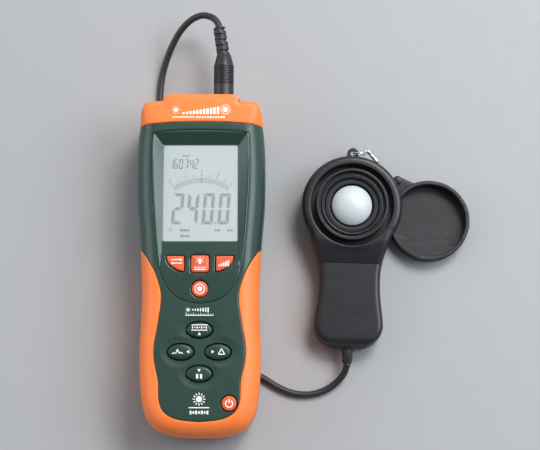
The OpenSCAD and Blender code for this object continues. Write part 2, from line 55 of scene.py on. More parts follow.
VIEW_CENTRE = (40.1, 23.5, 24)      # what the middle of the picture shows
VIEW_ELEVATION = 81             # degrees above the table
VIEW_DISTANCE = 950
LENS = 107.4
LIGHT_AIM = (0.04, 0.02, 0.02)      # this and the lights' places and sizes are in metres
LIGHTS = {                      # place, size, power and colour
    "key_light": ((0.75, 1.2, 1.75), 0.9, 36, (1, 0.985, 0.96)),
    "right_light": ((1.06, 0.24, 1.12), 0.9, 13, (0.8, 0.9, 1)),
    "left_light": ((-1.3, 0.15, 0.62), 1.0, 5, (0.95, 0.97, 1)),
    "front_light": ((0.0, -1.4, 0.3), 0.8, 1, (1, 0.97, 0.94)),
}
SKY_COLOUR = (0.9, 0.95, 1, 1)


def add_camera():
    """A long lens above the table, a little towards the meter's bottom end."""
    tilt = math.radians(VIEW_ELEVATION)
    centre = Vector(VIEW_CENTRE) * MM
    back = Vector((0, -math.cos(tilt), math.sin(tilt)))
    data = bpy.data.cameras.new("camera")
    data.lens = LENS
    data.clip_start = 0.05
    camera = bpy.data.objects.new("camera", data)
    bpy.context.scene.collection.objects.link(camera)
    camera.location = centre + back * VIEW_DISTANCE * MM
    camera.rotation_euler = back.to_track_quat("Z", "Y").to_euler()
    bpy.context.scene.camera = camera


def add_area_light(name, place, size, power, colour):
    data = bpy.data.lights.new(name, "AREA")
    data.shape = "DISK"
    data.size = size
    data.energy = power
    data.color = colour
    light = bpy.data.objects.new(name, data)
    bpy.context.scene.collection.objects.link(light)
    light.location = place
    light.rotation_euler = (Vector(place) - Vector(LIGHT_AIM)).to_track_quat("Z", "Y").to_euler()


def add_studio():
    """A soft room, brighter at the sides and behind the object than above it or on the viewer's side."""
    world = bpy.data.worlds.new("studio")
    world.use_nodes = True
    tree = world.node_tree
    sky = tree.nodes["Background"]
    split = tree.nodes.new("ShaderNodeSeparateXYZ")
    tree.links.new(tree.nodes.new("ShaderNodeTexCoord").outputs["Generated"], split.inputs[0])

    def curve(source, stops):
        """A smooth step of the source, from one pair of values to another."""
        made = tree.nodes.new("ShaderNodeMapRange")
        made.inputs["From Min"].default_value, made.inputs["From Max"].default_value = stops[0]
        made.inputs["To Min"].default_value, made.inputs["To Max"].default_value = stops[1]
        made.interpolation_type = "SMOOTHSTEP"
        tree.links.new(source, made.inputs["Value"])
        return made.outputs["Result"]

    def add(a, b):
        made = tree.nodes.new("ShaderNodeMath")
        tree.links.new(a, made.inputs[0])
        tree.links.new(b, made.inputs[1])
        return made.outputs[0]

    right = curve(split.outputs["X"], ((0.25, 0.95), (0, 0.44)))
    left = curve(split.outputs["X"], ((-0.95, -0.25), (0.42, 0)))
    behind = curve(split.outputs["Y"], ((-0.15, 0.75), (0.12, 0.74)))
    tree.links.new(add(add(right, left), behind), sky.inputs["Strength"])
    sky.inputs["Color"].default_value = SKY_COLOUR
    bpy.context.scene.world = world
    for name, look in LIGHTS.items():
        add_area_light(name, *look)
    bpy.context.scene.view_settings.view_transform = "Standard"


# ---- materials

GRAIN_SCALE = 1900
MOULDED = {                     # colour, roughness, strength of the grain and drift of the colour
    "case_green": ((0.019, 0.048, 0.036), 0.36, 0.25, 0.06),
    "panel_green": ((0.019, 0.048, 0.036), 0.26, 0.1, 0.06),
    "grip_orange": ((0.92, 0.2, 0.035), 0.5, 0.3, 0.035),
    "key_orange": ((0.66, 0.105, 0.028), 0.5, 0.15, 0.03),
    "key_green": ((0.013, 0.036, 0.028), 0.42, 0.15, 0.06),
    "legend_white": ((0.82, 0.83, 0.82), 0.55, 0.05, 0.02),
    "display_grey": ((0.405, 0.444, 0.43), 0.35, 0.02, 0.012),
    "segment_grey": ((0.165, 0.19, 0.19), 0.4, 0.02, 0.03),
    "segment_dark": ((0.085, 0.1, 0.1), 0.4, 0.02, 0.03),
    "segment_pale": ((0.275, 0.31, 0.305), 0.4, 0.02, 0.03),
    "frame_white": ((0.7, 0.7, 0.68), 0.5, 0.25, 0.06),
    "board_green": ((0.02, 0.13, 0.05), 0.4, 0.25, 0.06),
    "mat_grey": ((0.1, 0.1, 0.105), 0.6, 0.25, 0.06),
    "black_plastic": ((0.017, 0.016, 0.018), 0.42, 0.25, 0.06),
    "black_rubber": ((0.018, 0.017, 0.019), 0.5, 0.3, 0.06),
    "sensor_black": ((0.0125, 0.0115, 0.0145), 0.38, 0.35, 0.06),
    "cap_rubber": ((0.009, 0.0085, 0.0105), 0.55, 0.4, 0.14),
    "battery_wrap": ((0.05, 0.05, 0.055), 0.35, 0.25, 0.06),
    "dome_white": ((0.57, 0.62, 0.628), 0.42, 0.03, 0.01),
    "window_clear": ((0.9, 0.94, 0.93), 0.06, 0.01, 0.01),
    "filter_green": ((0.35, 0.6, 0.38), 0.06, 0.01, 0.02),
    "table": ((0.365, 0.365, 0.372), 0.6, 0.05, 0.008),
}
DUST_COLOUR = (0.045, 0.045, 0.052, 1)


def new_material(name, colour, roughness, metallic=0.0):
    """A material with a Principled shader."""
    material = bpy.data.materials.new(name)
    material.use_nodes = True
    shader = shader_of(material)
    shader.inputs["Base Color"].default_value = (*colour, 1)
    shader.inputs["Roughness"].default_value = roughness
    shader.inputs["Metallic"].default_value = metallic
    return material


def node(material, kind, **values):
    """A new shader node. Each value goes to the input of that name, or else to the setting of that name."""
    made = material.node_tree.nodes.new(kind)
    for key, value in values.items():
        if key in made.inputs:
            made.inputs[key].default_value = value
        else:
            setattr(made, key, value)
    return made


def link(material, a, b):
    material.node_tree.links.new(a, b)


def shader_of(material):
    return material.node_tree.nodes["Principled BSDF"]


def object_place(material):
    return node(material, "ShaderNodeTexCoord").outputs["Object"]


def noise(material, scale, detail=3.0, rough=0.55):
    made = node(material, "ShaderNodeTexNoise", Scale=scale, Detail=detail, Roughness=rough)
    link(material, object_place(material), made.inputs["Vector"])
    return made.outputs["Fac"]


def stretched_noise(material, scale, turn=0.0, detail=3.0, rough=0.5):
    """Noise drawn out into streaks."""
    mapping = node(material, "ShaderNodeMapping", Rotation=(0, 0, turn), Scale=scale)
    link(material, object_place(material), mapping.inputs["Vector"])
    made = node(material, "ShaderNodeTexNoise", Scale=1.0, Detail=detail, Roughness=rough)
    link(material, mapping.outputs["Vector"], made.inputs["Vector"])
    return made.outputs["Fac"]


def ramp(material, source, stops):
    """A colour ramp of the source, with a place and a colour for each stop."""
    made = node(material, "ShaderNodeValToRGB")
    elements = made.color_ramp.elements
    while len(elements) < len(stops):
        elements.new(0.5)
    for element, (place, colour) in zip(elements, stops):
        element.position = place
        element.color = (*colour, 1)
    link(material, source, made.inputs["Fac"])
    return made.outputs["Color"]


def grey(value):
    return (value, value, value)


def shade(colour, factor):
    return tuple(min(1, c * factor) for c in colour)


def add_bump(material, source, strength, distance):
    made = node(material, "ShaderNodeBump", Strength=strength, Distance=distance)
    link(material, source, made.inputs["Height"])
    link(material, made.outputs["Normal"], shader_of(material).inputs["Normal"])


def moulded(name, colour, roughness, grain, spread):
    """Moulded plastic or rubber: fine grain, slight colour drift, a few scuffs in the gloss."""
    material = new_material(name, colour, roughness)
    shader = shader_of(material)
    drift = ramp(material, noise(material, 38, 4),
                 [(0.3, shade(colour, 1 - spread)), (0.7, shade(colour, 1 + spread))])
    link(material, drift, shader.inputs["Base Color"])
    gloss = ramp(material, noise(material, 130, 5, 0.65),
                 [(0.35, grey(roughness * 0.88)), (0.62, grey(roughness)),
                  (0.78, grey(min(1, roughness * 1.18)))])
    link(material, gloss, shader.inputs["Roughness"])
    add_bump(material, noise(material, GRAIN_SCALE, 2), grain, 0.00005)
    return material


def scuffed(material):
    """Adds pale dusty streaks and blots to a dark rubber."""
    shader = shader_of(material)
    plain = shader.inputs["Base Color"].links[0].from_socket
    streaks = stretched_noise(material, (130, 300, 130), 0.9, 5.0, 0.7)
    blots = ramp(material, noise(material, 85, 3), [(0.46, grey(0)), (0.62, grey(1))])
    lines = ramp(material, streaks, [(0.52, grey(0)), (0.68, grey(1))])
    both = node(material, "ShaderNodeMath", operation="MULTIPLY")
    link(material, blots, both.inputs[0])
    link(material, lines, both.inputs[1])
    mix = node(material, "ShaderNodeMix", data_type="RGBA")
    link(material, both.outputs[0], mix.inputs[0])
    link(material, plain, mix.inputs[6])
    mix.inputs[7].default_value = DUST_COLOUR
    link(material, mix.outputs[2], shader.inputs["Base Color"])


def metal(name, colour, roughness):
    """Bright metal with fine drawn streaks."""
    material = new_material(name, colour, roughness, 1.0)
    shader = shader_of(material)
    lines = stretched_noise(material, (40, 900, 40))
    link(material, ramp(material, lines, [(0.3, grey(roughness * 0.7)), (0.7, grey(roughness * 1.4))]),
         shader.inputs["Roughness"])
    drift = ramp(material, noise(material, 60), [(0.3, shade(colour, 0.9)), (0.7, shade(colour, 1.08))])
    link(material, drift, shader.inputs["Base Color"])
    add_bump(material, lines, 0.15, 0.00003)
    return material


def make_materials():
    made = {name: moulded(name, *look) for name, look in MOULDED.items()}
    scuffed(made["cap_rubber"])
    made["steel"] = metal("steel", (0.78, 0.78, 0.8), 0.34)
    made["brass"] = metal("brass", (0.6, 0.44, 0.17), 0.32)
    dome = shader_of(made["dome_white"]).inputs
    dome["Subsurface Weight"].default_value = 0.35
    dome["Subsurface Radius"].default_value = (0.004, 0.004, 0.004)
    dome["Subsurface Scale"].default_value = 1.0
    shader_of(made["window_clear"]).inputs["Alpha"].default_value = 0.07
    shader_of(made["filter_green"]).inputs["Alpha"].default_value = 0.6
    return made


# ---- outlines in the plane

def smooth_line(points, steps):
    """A smooth line through the points, with that many steps between two of them."""
    p = [np.array(q, float) for q in points]
    line = []
    for i in range(len(p) - 1):
        a, b, c, d = p[max(i - 1, 0)], p[i], p[i + 1], p[min(i + 2, len(p) - 1)]
        for k in range(steps):
            t = k / steps
            line.append(0.5 * (2 * b + (c - a) * t + (2 * a - 5 * b + 4 * c - d) * t * t
                               + (3 * b - a - 3 * c + d) * t ** 3))
    line.append(p[-1])
    return np.array(line)


def resample(line, step, closed=True):
    """The same line with points about one step apart."""
    pts = np.vstack([line, line[:1]]) if closed else np.asarray(line)
    lengths = np.r_[0, np.cumsum(np.linalg.norm(np.diff(pts, axis=0), axis=1))]
    count = max(4, int(round(lengths[-1] / step)))
    at = np.linspace(0, lengths[-1], count + 1)
    out = np.stack([np.interp(at, lengths, pts[:, k]) for k in range(pts.shape[1])], 1)
    return out[:-1] if closed else out


def both_sides(half):
    """A closed outline from its right half."""
    left = [(-x, y) for x, y in half[::-1] if x > 0.01]
    return np.array([tuple(q) for q in half] + left)


def arc(centre, radius, start, end, count):
    """Points along an arc, between two angles in degrees."""
    return np.array([(centre[0] + radius * math.cos(a), centre[1] + radius * math.sin(a))
                     for a in np.radians(np.linspace(start, end, count))])


def circle(centre, radius, count):
    return arc(centre, radius, 0, 360, count + 1)[:-1]


def ellipse(centre, rx, ry):
    return circle((0, 0), 1, 64) * (rx, ry) + np.array(centre)


def direction(degrees):
    a = math.radians(degrees)
    return np.array([math.cos(a), math.sin(a)])


def rounded_box(x0, y0, x1, y1, r, count=6):
    corners = [((x1 - r, y1 - r), 0), ((x0 + r, y1 - r), 90),
               ((x0 + r, y0 + r), 180), ((x1 - r, y0 + r), 270)]
    return np.vstack([arc(c, r, a, a + 90, count) for c, a in corners])


def subdivided(loop, step):
    """The same closed loop with more points, so that no side is longer than step."""
    out = []
    for a, b in zip(np.asarray(loop, float), np.roll(loop, -1, 0)):
        count = max(1, math.ceil(np.linalg.norm(b - a) / step))
        out += [a + (b - a) * k / count for k in range(count)]
    return np.array(out)


def rings_round(holes, gaps):
    """Points in rings round each hole, at several distances outside it."""
    return np.vstack([drawn_in(hole, -gap) for hole in holes for gap in gaps])


def inside(points, loop):
    """Which points lie inside a closed loop."""
    x, y = points[:, 0:1], points[:, 1:2]
    a, b = loop, np.roll(loop, -1, 0)
    crossing = (a[:, 1] > y) != (b[:, 1] > y)
    rise = np.where(b[:, 1] == a[:, 1], 1e-12, b[:, 1] - a[:, 1])
    cut = a[:, 0] + (y - a[:, 1]) * (b[:, 0] - a[:, 0]) / rise
    return ((crossing & (x < cut)).sum(1) % 2).astype(bool)


def distance(points, loop):
    """Distance of each point from a closed loop of straight pieces."""
    a, b = loop, np.roll(loop, -1, 0)
    best = np.full(len(points), 1e9)
    along = b - a
    length2 = np.maximum((along ** 2).sum(1), 1e-12)
    for k in range(0, len(points), 4000):
        p = points[k:k + 4000, None, :2]
        t = np.clip(((p - a) * along).sum(2) / length2, 0, 1)
        best[k:k + 4000] = np.sqrt(((p - a - t[..., None] * along) ** 2).sum(2)).min(1)
    return best


def depth_in(points, loop):
    """Distance inwards from a closed loop, negative outside it."""
    return distance(points, loop) * np.where(inside(points, loop), 1, -1)


def drawn_in(loop, by):
    """The loop moved inwards by a small distance."""
    ahead, behind = np.roll(loop, -1, 0), np.roll(loop, 1, 0)
    way = ahead - behind
    way /= np.maximum(np.linalg.norm(way, axis=1, keepdims=True), 1e-9)
    normal = np.stack([-way[:, 1], way[:, 0]], 1)
    area = (loop[:, 0] * ahead[:, 1] - ahead[:, 0] * loop[:, 1]).sum()
    return loop + normal * by * (1 if area > 0 else -1)


def round_over(d, reach, drop):
    """How far a rounded edge lies below its face, at distance d from the side."""
    t = np.clip(1 - np.asarray(d) / reach, 0, 1)
    return drop * (1 - np.sqrt(1 - t * t))


# ---- mesh tools

FLAT_ANGLE = math.radians(38)       # edges sharper than this stay crisp


def join(*parts):
    """Several (points, faces) as one."""
    points, faces, shift = [], [], 0
    for p, f in parts:
        points.append(np.asarray(p, float).reshape(-1, 3))
        faces += [tuple(i + shift for i in face) for face in f]
        shift += len(points[-1])
    return np.vstack(points), faces


def make_object(name, part):
    """A new mesh object from (points, faces) in millimetres."""
    points, faces = part
    mesh = bpy.data.meshes.new(name)
    mesh.from_pydata((np.asarray(points, float) * MM).tolist(), [],
                     [tuple(int(i) for i in f) for f in faces])
    mesh.update()
    grown = bmesh.new()
    grown.from_mesh(mesh)
    bmesh.ops.remove_doubles(grown, verts=grown.verts, dist=1e-7)
    bmesh.ops.recalc_face_normals(grown, faces=grown.faces)
    grown.to_mesh(mesh)
    grown.free()
    made = bpy.data.objects.new(name, mesh)
    bpy.context.scene.collection.objects.link(made)
    return made


def shade_smooth(made, angle=FLAT_ANGLE):
    made.data.polygons.foreach_set("use_smooth", [True] * len(made.data.polygons))
    made.data.set_sharp_from_angle(angle=angle)


def flat_mesh(region, holes, points, lines):
    """Triangles that fill the region around its holes, through the given points and lines."""
    loops = [np.asarray(region)] + [np.asarray(h) for h in holes]
    verts, edges = [], []
    for loop in loops:
        first, count = len(verts), len(loop)
        verts += [tuple(p) for p in loop]
        edges += [(first + i, first + (i + 1) % count) for i in range(count)]
    for line in lines:
        first = len(verts)
        verts += [tuple(p) for p in line]
        edges += [(first + i, first + i + 1) for i in range(len(line) - 1)]
    if len(points):
        pts = np.asarray(points, float)[:, :2]
        keep = inside(pts, loops[0])
        for hole in loops[1:]:
            keep &= ~inside(pts, hole)
        for loop in loops:
            keep[keep] &= distance(pts[keep], loop) > 0.2
        verts += [tuple(p) for p in pts[keep]]
    out = delaunay_2d_cdt([Vector((float(p[0]), float(p[1]))) for p in verts], edges, [], 0, 1e-4)
    flat = np.array([(v.x, v.y) for v in out[0]])
    faces = np.array([list(f) for f in out[2]])
    middle = flat[faces].mean(1)
    keep = inside(middle, loops[0])
    for hole in loops[1:]:
        keep &= ~inside(middle, hole)
    faces = faces[keep]
    a, b, c = flat[faces[:, 0]], flat[faces[:, 1]], flat[faces[:, 2]]
    turn = (b[:, 0] - a[:, 0]) * (c[:, 1] - a[:, 1]) - (b[:, 1] - a[:, 1]) * (c[:, 0] - a[:, 0])
    faces[turn < 0] = faces[turn < 0][:, ::-1]
    faces = faces[np.abs(turn) > 1e-7]
    used = np.unique(faces)
    order = np.full(len(flat), -1)
    order[used] = np.arange(len(used))
    return flat[used], order[faces]


def slab(region, top, bottom, holes=(), points=(), lines=()):
    """A closed solid over a region, between two heights: numbers, or functions of the plan points."""
    flat, faces = flat_mesh(region, holes, points, lines)
    count = len(flat)
    upper, lower = [np.column_stack([flat, np.broadcast_to(z(flat) if callable(z) else z, count)])
                    for z in (top, bottom)]
    rim = dict.fromkeys((int(f[i]), int(f[(i + 1) % 3])) for f in faces for i in range(3))
    walls = [(a, a + count, b + count, b) for a, b in rim if (b, a) not in rim]
    return (np.vstack([upper, lower]),
            [tuple(f) for f in faces] + [tuple(f[::-1] + count) for f in faces] + walls)


def edge_rings(loop, depths):
    """Points at several distances inside a loop, for a smooth rounded edge."""
    found = []
    for d in depths:
        ring = drawn_in(loop, d)
        found.append(ring[depth_in(ring, loop) > d * 0.93])
    return np.vstack(found)


def grid(loop, step, clear):
    """Staggered points inside a loop, at least clear away from it."""
    low, high = loop.min(0), loop.max(0)
    rows = []
    for k, y in enumerate(np.arange(low[1], high[1], step * 0.87)):
        x = np.arange(low[0] + (k % 2) * step / 2, high[0], step)
        rows.append(np.column_stack([x, np.full(len(x), y)]))
    pts = np.vstack(rows)
    return pts[depth_in(pts, loop) > clear]


def lathe(profile, centre=(0, 0), count=96):
    """A solid of revolution about Z, from a list of (radius, height) that is closed if it is off the axis."""
    points, faces, rows = [], [], []
    for r, z in profile:
        first = len(points)
        angles = [0] if r < 1e-6 else np.linspace(0, 2 * math.pi, count, endpoint=False)
        points += [(centre[0] + r * math.cos(a), centre[1] + r * math.sin(a), z) for a in angles]
        rows.append(range(first, len(points)))
    if len(rows[0]) > 1:
        rows.append(rows[0])
    for low, high in zip(rows, rows[1:]):
        for k in range(count):
            m = (k + 1) % count
            if len(low) == 1:
                faces.append((low[0], high[k], high[m]))
            elif len(high) == 1:
                faces.append((low[k], high[0], low[m]))
            else:
                faces.append((low[k], high[k], high[m], low[m]))
    return np.array(points), faces


def soften(profile, radius, steps=4, closed=True):
    """The profile with each corner rounded off by a small radius."""
    p = [np.array(q, float) for q in profile]
    out = []
    for i, q in enumerate(p):
        if not closed and i in (0, len(p) - 1):
            out.append(q)
            continue
        before, after = p[i - 1] - q, p[(i + 1) % len(p)] - q
        reach = min(radius, 0.45 * np.linalg.norm(before), 0.45 * np.linalg.norm(after))
        a = q + before / max(np.linalg.norm(before), 1e-9) * reach
        b = q + after / max(np.linalg.norm(after), 1e-9) * reach
        for t in np.linspace(0, 1, steps + 1):
            out.append((1 - t) ** 2 * a + 2 * t * (1 - t) * q + t * t * b)
    return out


def sweep(line, radius, sides):
    """A round tube along a line."""
    line = np.asarray(line, float)
    points, faces = [], []
    side = None
    for i, p in enumerate(line):
        way = line[min(i + 1, len(line) - 1)] - line[max(i - 1, 0)]
        way = way / np.linalg.norm(way)
        if side is None:
            side = np.cross((0, 0, 1) if abs(way[2]) < 0.9 else (1, 0, 0), way)
        side = side - way * side.dot(way)
        side /= np.linalg.norm(side)
        up = np.cross(way, side)
        for a in np.linspace(0, 2 * math.pi, sides, endpoint=False):
            points.append(p + radius * (math.cos(a) * side + math.sin(a) * up))
    for i in range(len(line) - 1):
        for k in range(sides):
            m = (k + 1) % sides
            faces.append((i * sides + k, i * sides + m, (i + 1) * sides + m, (i + 1) * sides + k))
    faces.append(tuple(range(sides))[::-1])
    faces.append(tuple((len(line) - 1) * sides + k for k in range(sides)))
    return np.array(points), faces


def turned(part, axis_from, axis_to):
    """A part made about +Z from height 0, turned to run from one point towards another."""
    points, faces = part
    way = (Vector(axis_to) - Vector(axis_from)).normalized()
    turn = np.array(Vector((0, 0, 1)).rotation_difference(way).to_matrix())
    return points @ turn.T + np.array(axis_from), faces


def moved(part, by):
    """A part shifted in space."""
    return np.asarray(part[0]) + np.array(by), part[1]


def cut(made, *cutters):
    """Takes the cutters, which are (points, faces), out of an object's mesh."""
    for k, part in enumerate(cutters):
        tool = make_object(f"cutter_{k}", part)
        step = made.modifiers.new("cut", "BOOLEAN")
        step.operation = "DIFFERENCE"
        step.solver = "EXACT"
        step.object = tool
        bpy.context.view_layer.update()
        solved = made.evaluated_get(bpy.context.evaluated_depsgraph_get())
        shape = bpy.data.meshes.new_from_object(solved)
        made.modifiers.clear()
        made.data = shape
        bpy.data.objects.remove(tool)


def block(x0, x1, y0, y1, z0, z1):
    return slab(np.array([(x0, y0), (x1, y0), (x1, y1), (x0, y1)]), z1, z0)


def rod(centre, r, z0, z1, count):
    return slab(circle(centre, r, count), z1, z0)


def paint(made, material):
    """Gives an object that material and no other."""
    made.data.materials.clear()
    made.data.materials.append(materials[material])


def add_piece(name, part, body, material, cutters=(), angle=FLAT_ANGLE):
    """A piece of the object, which replaces the CAD node of its name."""
    made = make_object(name, part)
    if cutters:
        cut(made, *cutters)
    shade_smooth(made, angle)
    paint(made, material)
    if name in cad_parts:
        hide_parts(name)
    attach(made, body)
    return made


# ---- the meter's case

FACE = 48.0                     # heights of the front, the back and the seam between the shells
BACK = 5.0
SPLIT = 26.0
EDGE_REACH, EDGE_DROP = 10.5, 12.0     # how far in and how far down the rounded edge goes
END_REACH, END_DROP = 4.0, 4.5          # the same at the plug's end
LEDGE_DROP = 4.5                # how far the ledge at the plug's end lies below the face
GRIP_STEP = 0.3                 # the grips stand this proud of the green face
GRIP_THICK = 2.2
WALL = 2.5
SHELL_BAND = 2.3                # width of the band at the edge where the shells reach the seam
SEAM = 0.12                     # half of the gap between two pieces that meet
CASE_SIDE = [(0, -101.45), (10.8, -100.95), (19.7, -99.35), (26, -96.1), (30.4, -90.4), (32.8, -83),
             (34.2, -72), (34.9, -53), (34.2, -35), (33.8, -18), (35, 8), (37, 34), (37.45, 53), (37.1, 68),
             (36.2, 78), (35.4, 85.2), (34.3, 89.5), (32.9, 91.8), (30.6, 93), (27, 93.4), (23.2, 93.6)]
CASE_END = [(22.4, 94.4), (20.9, 97), (18.3, 98), (9, 98.15), (0, 98.15)]
GRIP_EDGE = [(37, 9.5), (31.3, 2), (26.1, -7), (22.7, -17), (22.2, -25), (24, -38), (26, -50),
             (25.6, -59), (23.3, -70), (22.9, -80), (20.2, -87), (12.8, -91.2), (0, -92.8)]
SHIELD = [(0, 76), (14, 75.6), (26.2, 74.2), (28.2, 71.4), (28.4, 50), (27.2, 28), (25.8, 10),
          (23.2, -6.3), (17, -18.5), (9, -24), (0, -25.6)]
PLUG_X, PLUG_Z = 12.5, 25.0
PORT_BLOCK = (-18, -8, 88, 110, 22, 28)     # space for the data port, as pairs of x, y and z
SOCKET_R = 7.05
LCD_X, LCD_Y0, LCD_Y1 = 21.6, 10.5, 67.5

case_loop = resample(both_sides(np.vstack([smooth_line(CASE_SIDE, 8), smooth_line(CASE_END, 5)])), 1.1)
grip_edge = resample(smooth_line(GRIP_EDGE, 8), 1.0, closed=False)
shield_loop = resample(both_sides(smooth_line(SHIELD, 8)), 0.9)
# y past the crease and depth below the face, down the step to the ledge
LEDGE_STEP = ((-0.7, 0), (-0.4, 0.08), (-0.15, 0.35), (0, 1.0), (0.25, 4.0), (0.6, 4.4), (1.1, LEDGE_DROP))


def arch(x):
    """Where the green front ends below the top grip."""
    return 80.5 - 2 * (np.asarray(x) / 36) ** 2


def crease(x):
    """Where the face steps down to the ledge at the plug's end."""
    return 94.2 - 1.2 * (np.asarray(x) / 19) ** 2


def plan_points():
    """Points over the whole case: rings along its rounded edge, rows along the ledge and a grid between."""
    found = np.vstack([edge_rings(case_loop, (0.1, 0.35, 0.8, 1.4, 2.15, 2.4, 3.2, 4.3, 5.6, 7.1, 8.8, 10.6)),
                       grid(case_loop, 1.7, 11.2)])
    off = found[:, 1] - crease(found[:, 0])
    near_ledge = (off > -1.5) & (off < 2) & (np.abs(found[:, 0]) < 22)
    x = np.arange(-21.6, 21.7, 0.9)
    rows = [np.column_stack([x, crease(x) + step]) for step, _ in LEDGE_STEP]
    return np.vstack([found[~near_ledge], *rows])


case_points = plan_points()


def case_top(p):
    """Height of the case's front: a slight crown, rounded edges, and the ledge at the plug's end."""
    d = depth_in(p, case_loop)
    tight = np.clip((p[:, 1] - 78) / 12, 0, 1)
    reach = EDGE_REACH + (END_REACH - EDGE_REACH) * tight
    edge = round_over(d, reach, EDGE_DROP + (END_DROP - EDGE_DROP) * tight)
    step = np.interp(p[:, 1] - crease(p[:, 0]), *zip(*LEDGE_STEP))
    step *= np.clip((22.9 - np.abs(p[:, 0])) / 0.8, 0, 1)
    ledge = step + round_over(d, 1.5, 1.4) * (step > 0.9 * LEDGE_DROP)
    return FACE - 0.25 * (p[:, 0] / 30) ** 2 - np.maximum(edge, ledge)


def case_back(p):
    """Height of the case's back, with its rounded edge."""
    return BACK + round_over(depth_in(p, case_loop), 4, 4)


def case_regions():
    """The green front, the side grip and the top grip, as closed loops that share their edges."""
    mirror = np.array([-1, 1])
    edge = grip_edge[depth_in(grip_edge, case_loop) > 0.05]
    right = case_loop[case_loop[:, 0] > 0]
    left = case_loop[case_loop[:, 0] < 0]
    low = edge[0][1] - 0.3
    side_x = np.interp(80, right[:, 1], right[:, 0])
    high = float(arch(side_x))
    arch_x = np.linspace(side_x - 0.1, 0.1 - side_x, 60)
    arch_line = np.column_stack([arch_x, arch(arch_x)])
    across = np.vstack([edge, (edge * mirror)[::-1][1:]])
    side = right[(right[:, 1] > low + 0.6) & (right[:, 1] < high - 0.3)]
    front = np.vstack([side, arch_line, (side * mirror)[::-1], across[::-1]])
    u_shape = np.vstack([right[right[:, 1] < low], across, left[left[:, 1] < low]])
    top = np.vstack([right[right[:, 1] > high + 0.3], left[left[:, 1] > high + 0.3], arch_line[::-1]])
    return front, u_shape, top


OVAL = (7.25, 4.4)              # half the length and half the width of an oval key
OVALS = {"up_key": (0, -40.7), "left_key": (-10.6, -53.2), "right_key": (10.6, -53.2), "down_key": (0, -65.6)}
DISH_AT = (0, -53.2)
DISH_DEPTH = 0.4
KEY_GAP = 0.7


def oval_dish(p):
    """The shallow lobed dish around the four oval keys."""
    near = np.hypot(p[:, 0] / 12, (p[:, 1] - DISH_AT[1]) / 12)
    for centre in OVALS.values():
        near = np.minimum(near, np.hypot((p[:, 0] - centre[0]) / 10.4, (p[:, 1] - centre[1]) / 7.8))
    t = np.clip((1.2 - near) / 0.42, 0, 1)
    return DISH_DEPTH * t * t * (3 - 2 * t)


corner_line = smooth_line([(-9.2, -7.0), (-11.6, -6.6), (-14.4, -5.3), (-17.2, -3.2), (-18.7, -0.9),
                           (-19.2, 1.8)], 6)
corner_loop = resample(np.vstack([soften([tuple(q) for q in corner_line] + [(-9.2, 1.8)], 0.8, 3)]), 0.5)
key_loops = {
    "units_key": corner_loop,
    "backlight_key": rounded_box(-5, -7.5, 5, 2.1, 1.1),
    "range_key": (corner_loop * (-1, 1))[::-1],
    "record_key": circle((0, -17.2), 4.6, 64),
    "power_key": circle((17, -82.3), 4.2, 64),
    **{name: ellipse(centre, *OVAL) for name, centre in OVALS.items()},
}
panel_keys = ("units_key", "backlight_key", "range_key", "record_key")
case_keys = [name for name in key_loops if name not in panel_keys]


def key_hole(name):
    """The hole in the front that a key stands in."""
    return drawn_in(key_loops[name], -KEY_GAP)


def hole_drop(p, names):
    """How far the rounded edges of those keys' holes lie below the face."""
    drop = np.zeros(len(p))
    for name in names:
        drop = np.maximum(drop, round_over(distance(p, key_hole(name)), 0.4, 0.25))
    return drop


def add_case():
    """The green front, and the two grips round it."""
    front, u_shape, top = case_regions()
    shield_hole = drawn_in(shield_loop, -SEAM)
    holes = [shield_hole] + [key_hole(name) for name in case_keys]
    hole_rings = rings_round(holes, (0.25, 0.6, 1.3))
    fine = grid(ellipse(DISH_AT, 26, 24), 0.9, 0)
    lip = drawn_in(front, SEAM)
    points = np.vstack([case_points, hole_rings, fine, edge_rings(lip, (0.12, 0.3, 0.52))])

    def front_top(p):
        hollow = round_over(distance(p, shield_loop) - SEAM, 0.5, 0.3)
        seam = round_over(depth_in(p, lip), 0.5, 0.22)
        return case_top(p) - oval_dish(p) - np.maximum(np.maximum(hollow, hole_drop(p, case_keys)), seam)

    def front_bottom(p):
        return np.where(depth_in(p, case_loop) < SHELL_BAND, SPLIT + 0.15, case_top(p) - WALL)

    socket = turned(lathe([(0, 0), (SOCKET_R, 0), (SOCKET_R, 20), (0, 20)], count=64),
                    (PLUG_X, 88, PLUG_Z), (PLUG_X, 120, PLUG_Z))
    add_piece("front_case", slab(lip, front_top, front_bottom, holes, points), "meter", "case_green")

    def grip(name, loop, cutters=()):
        drawn = drawn_in(loop, SEAM)

        def outer(p):
            inner = distance(p, front)
            return case_top(p) + GRIP_STEP - round_over(inner - SEAM, 0.9, 0.6)

        def under(p):
            return np.where(depth_in(p, case_loop) < SHELL_BAND, case_back(p), case_top(p) - GRIP_THICK)

        rings = rings_round([front], (0.3, 0.6, 1.0))
        add_piece(name, slab(drawn, outer, under, (), np.vstack([case_points, rings])), "meter",
                  "grip_orange", cutters=cutters)

    grip("side_grip", u_shape)
    grip("top_grip", top, [socket, block(*PORT_BLOCK)])


# ---- the display panel

PANEL_FLOOR = ((67.5, 4.0), (10.5, 1.6), (-8, 0.35), (-25.6, 0.2))     # y and depth below the face
PANEL_ENDS = (-25, 73.5)        # the panel's side is measured between these y
PANEL_THICK = 1.8
FACETS_END = -7                 # y where the side facets run out
PANEL_LIP = 0.3
PANEL_RIM = 0.8                 # width of the flat rim at the panel's sides
FACET_TOP = 74.4                # where the dark facet above the display begins
LCD_SINK = 0.75                 # the display glass lies this far below the panel's floor


def panel_floor(y):
    """Depth of the panel's floor below the face."""
    at, depth = zip(*PANEL_FLOOR[::-1])
    return np.interp(y, at, depth)


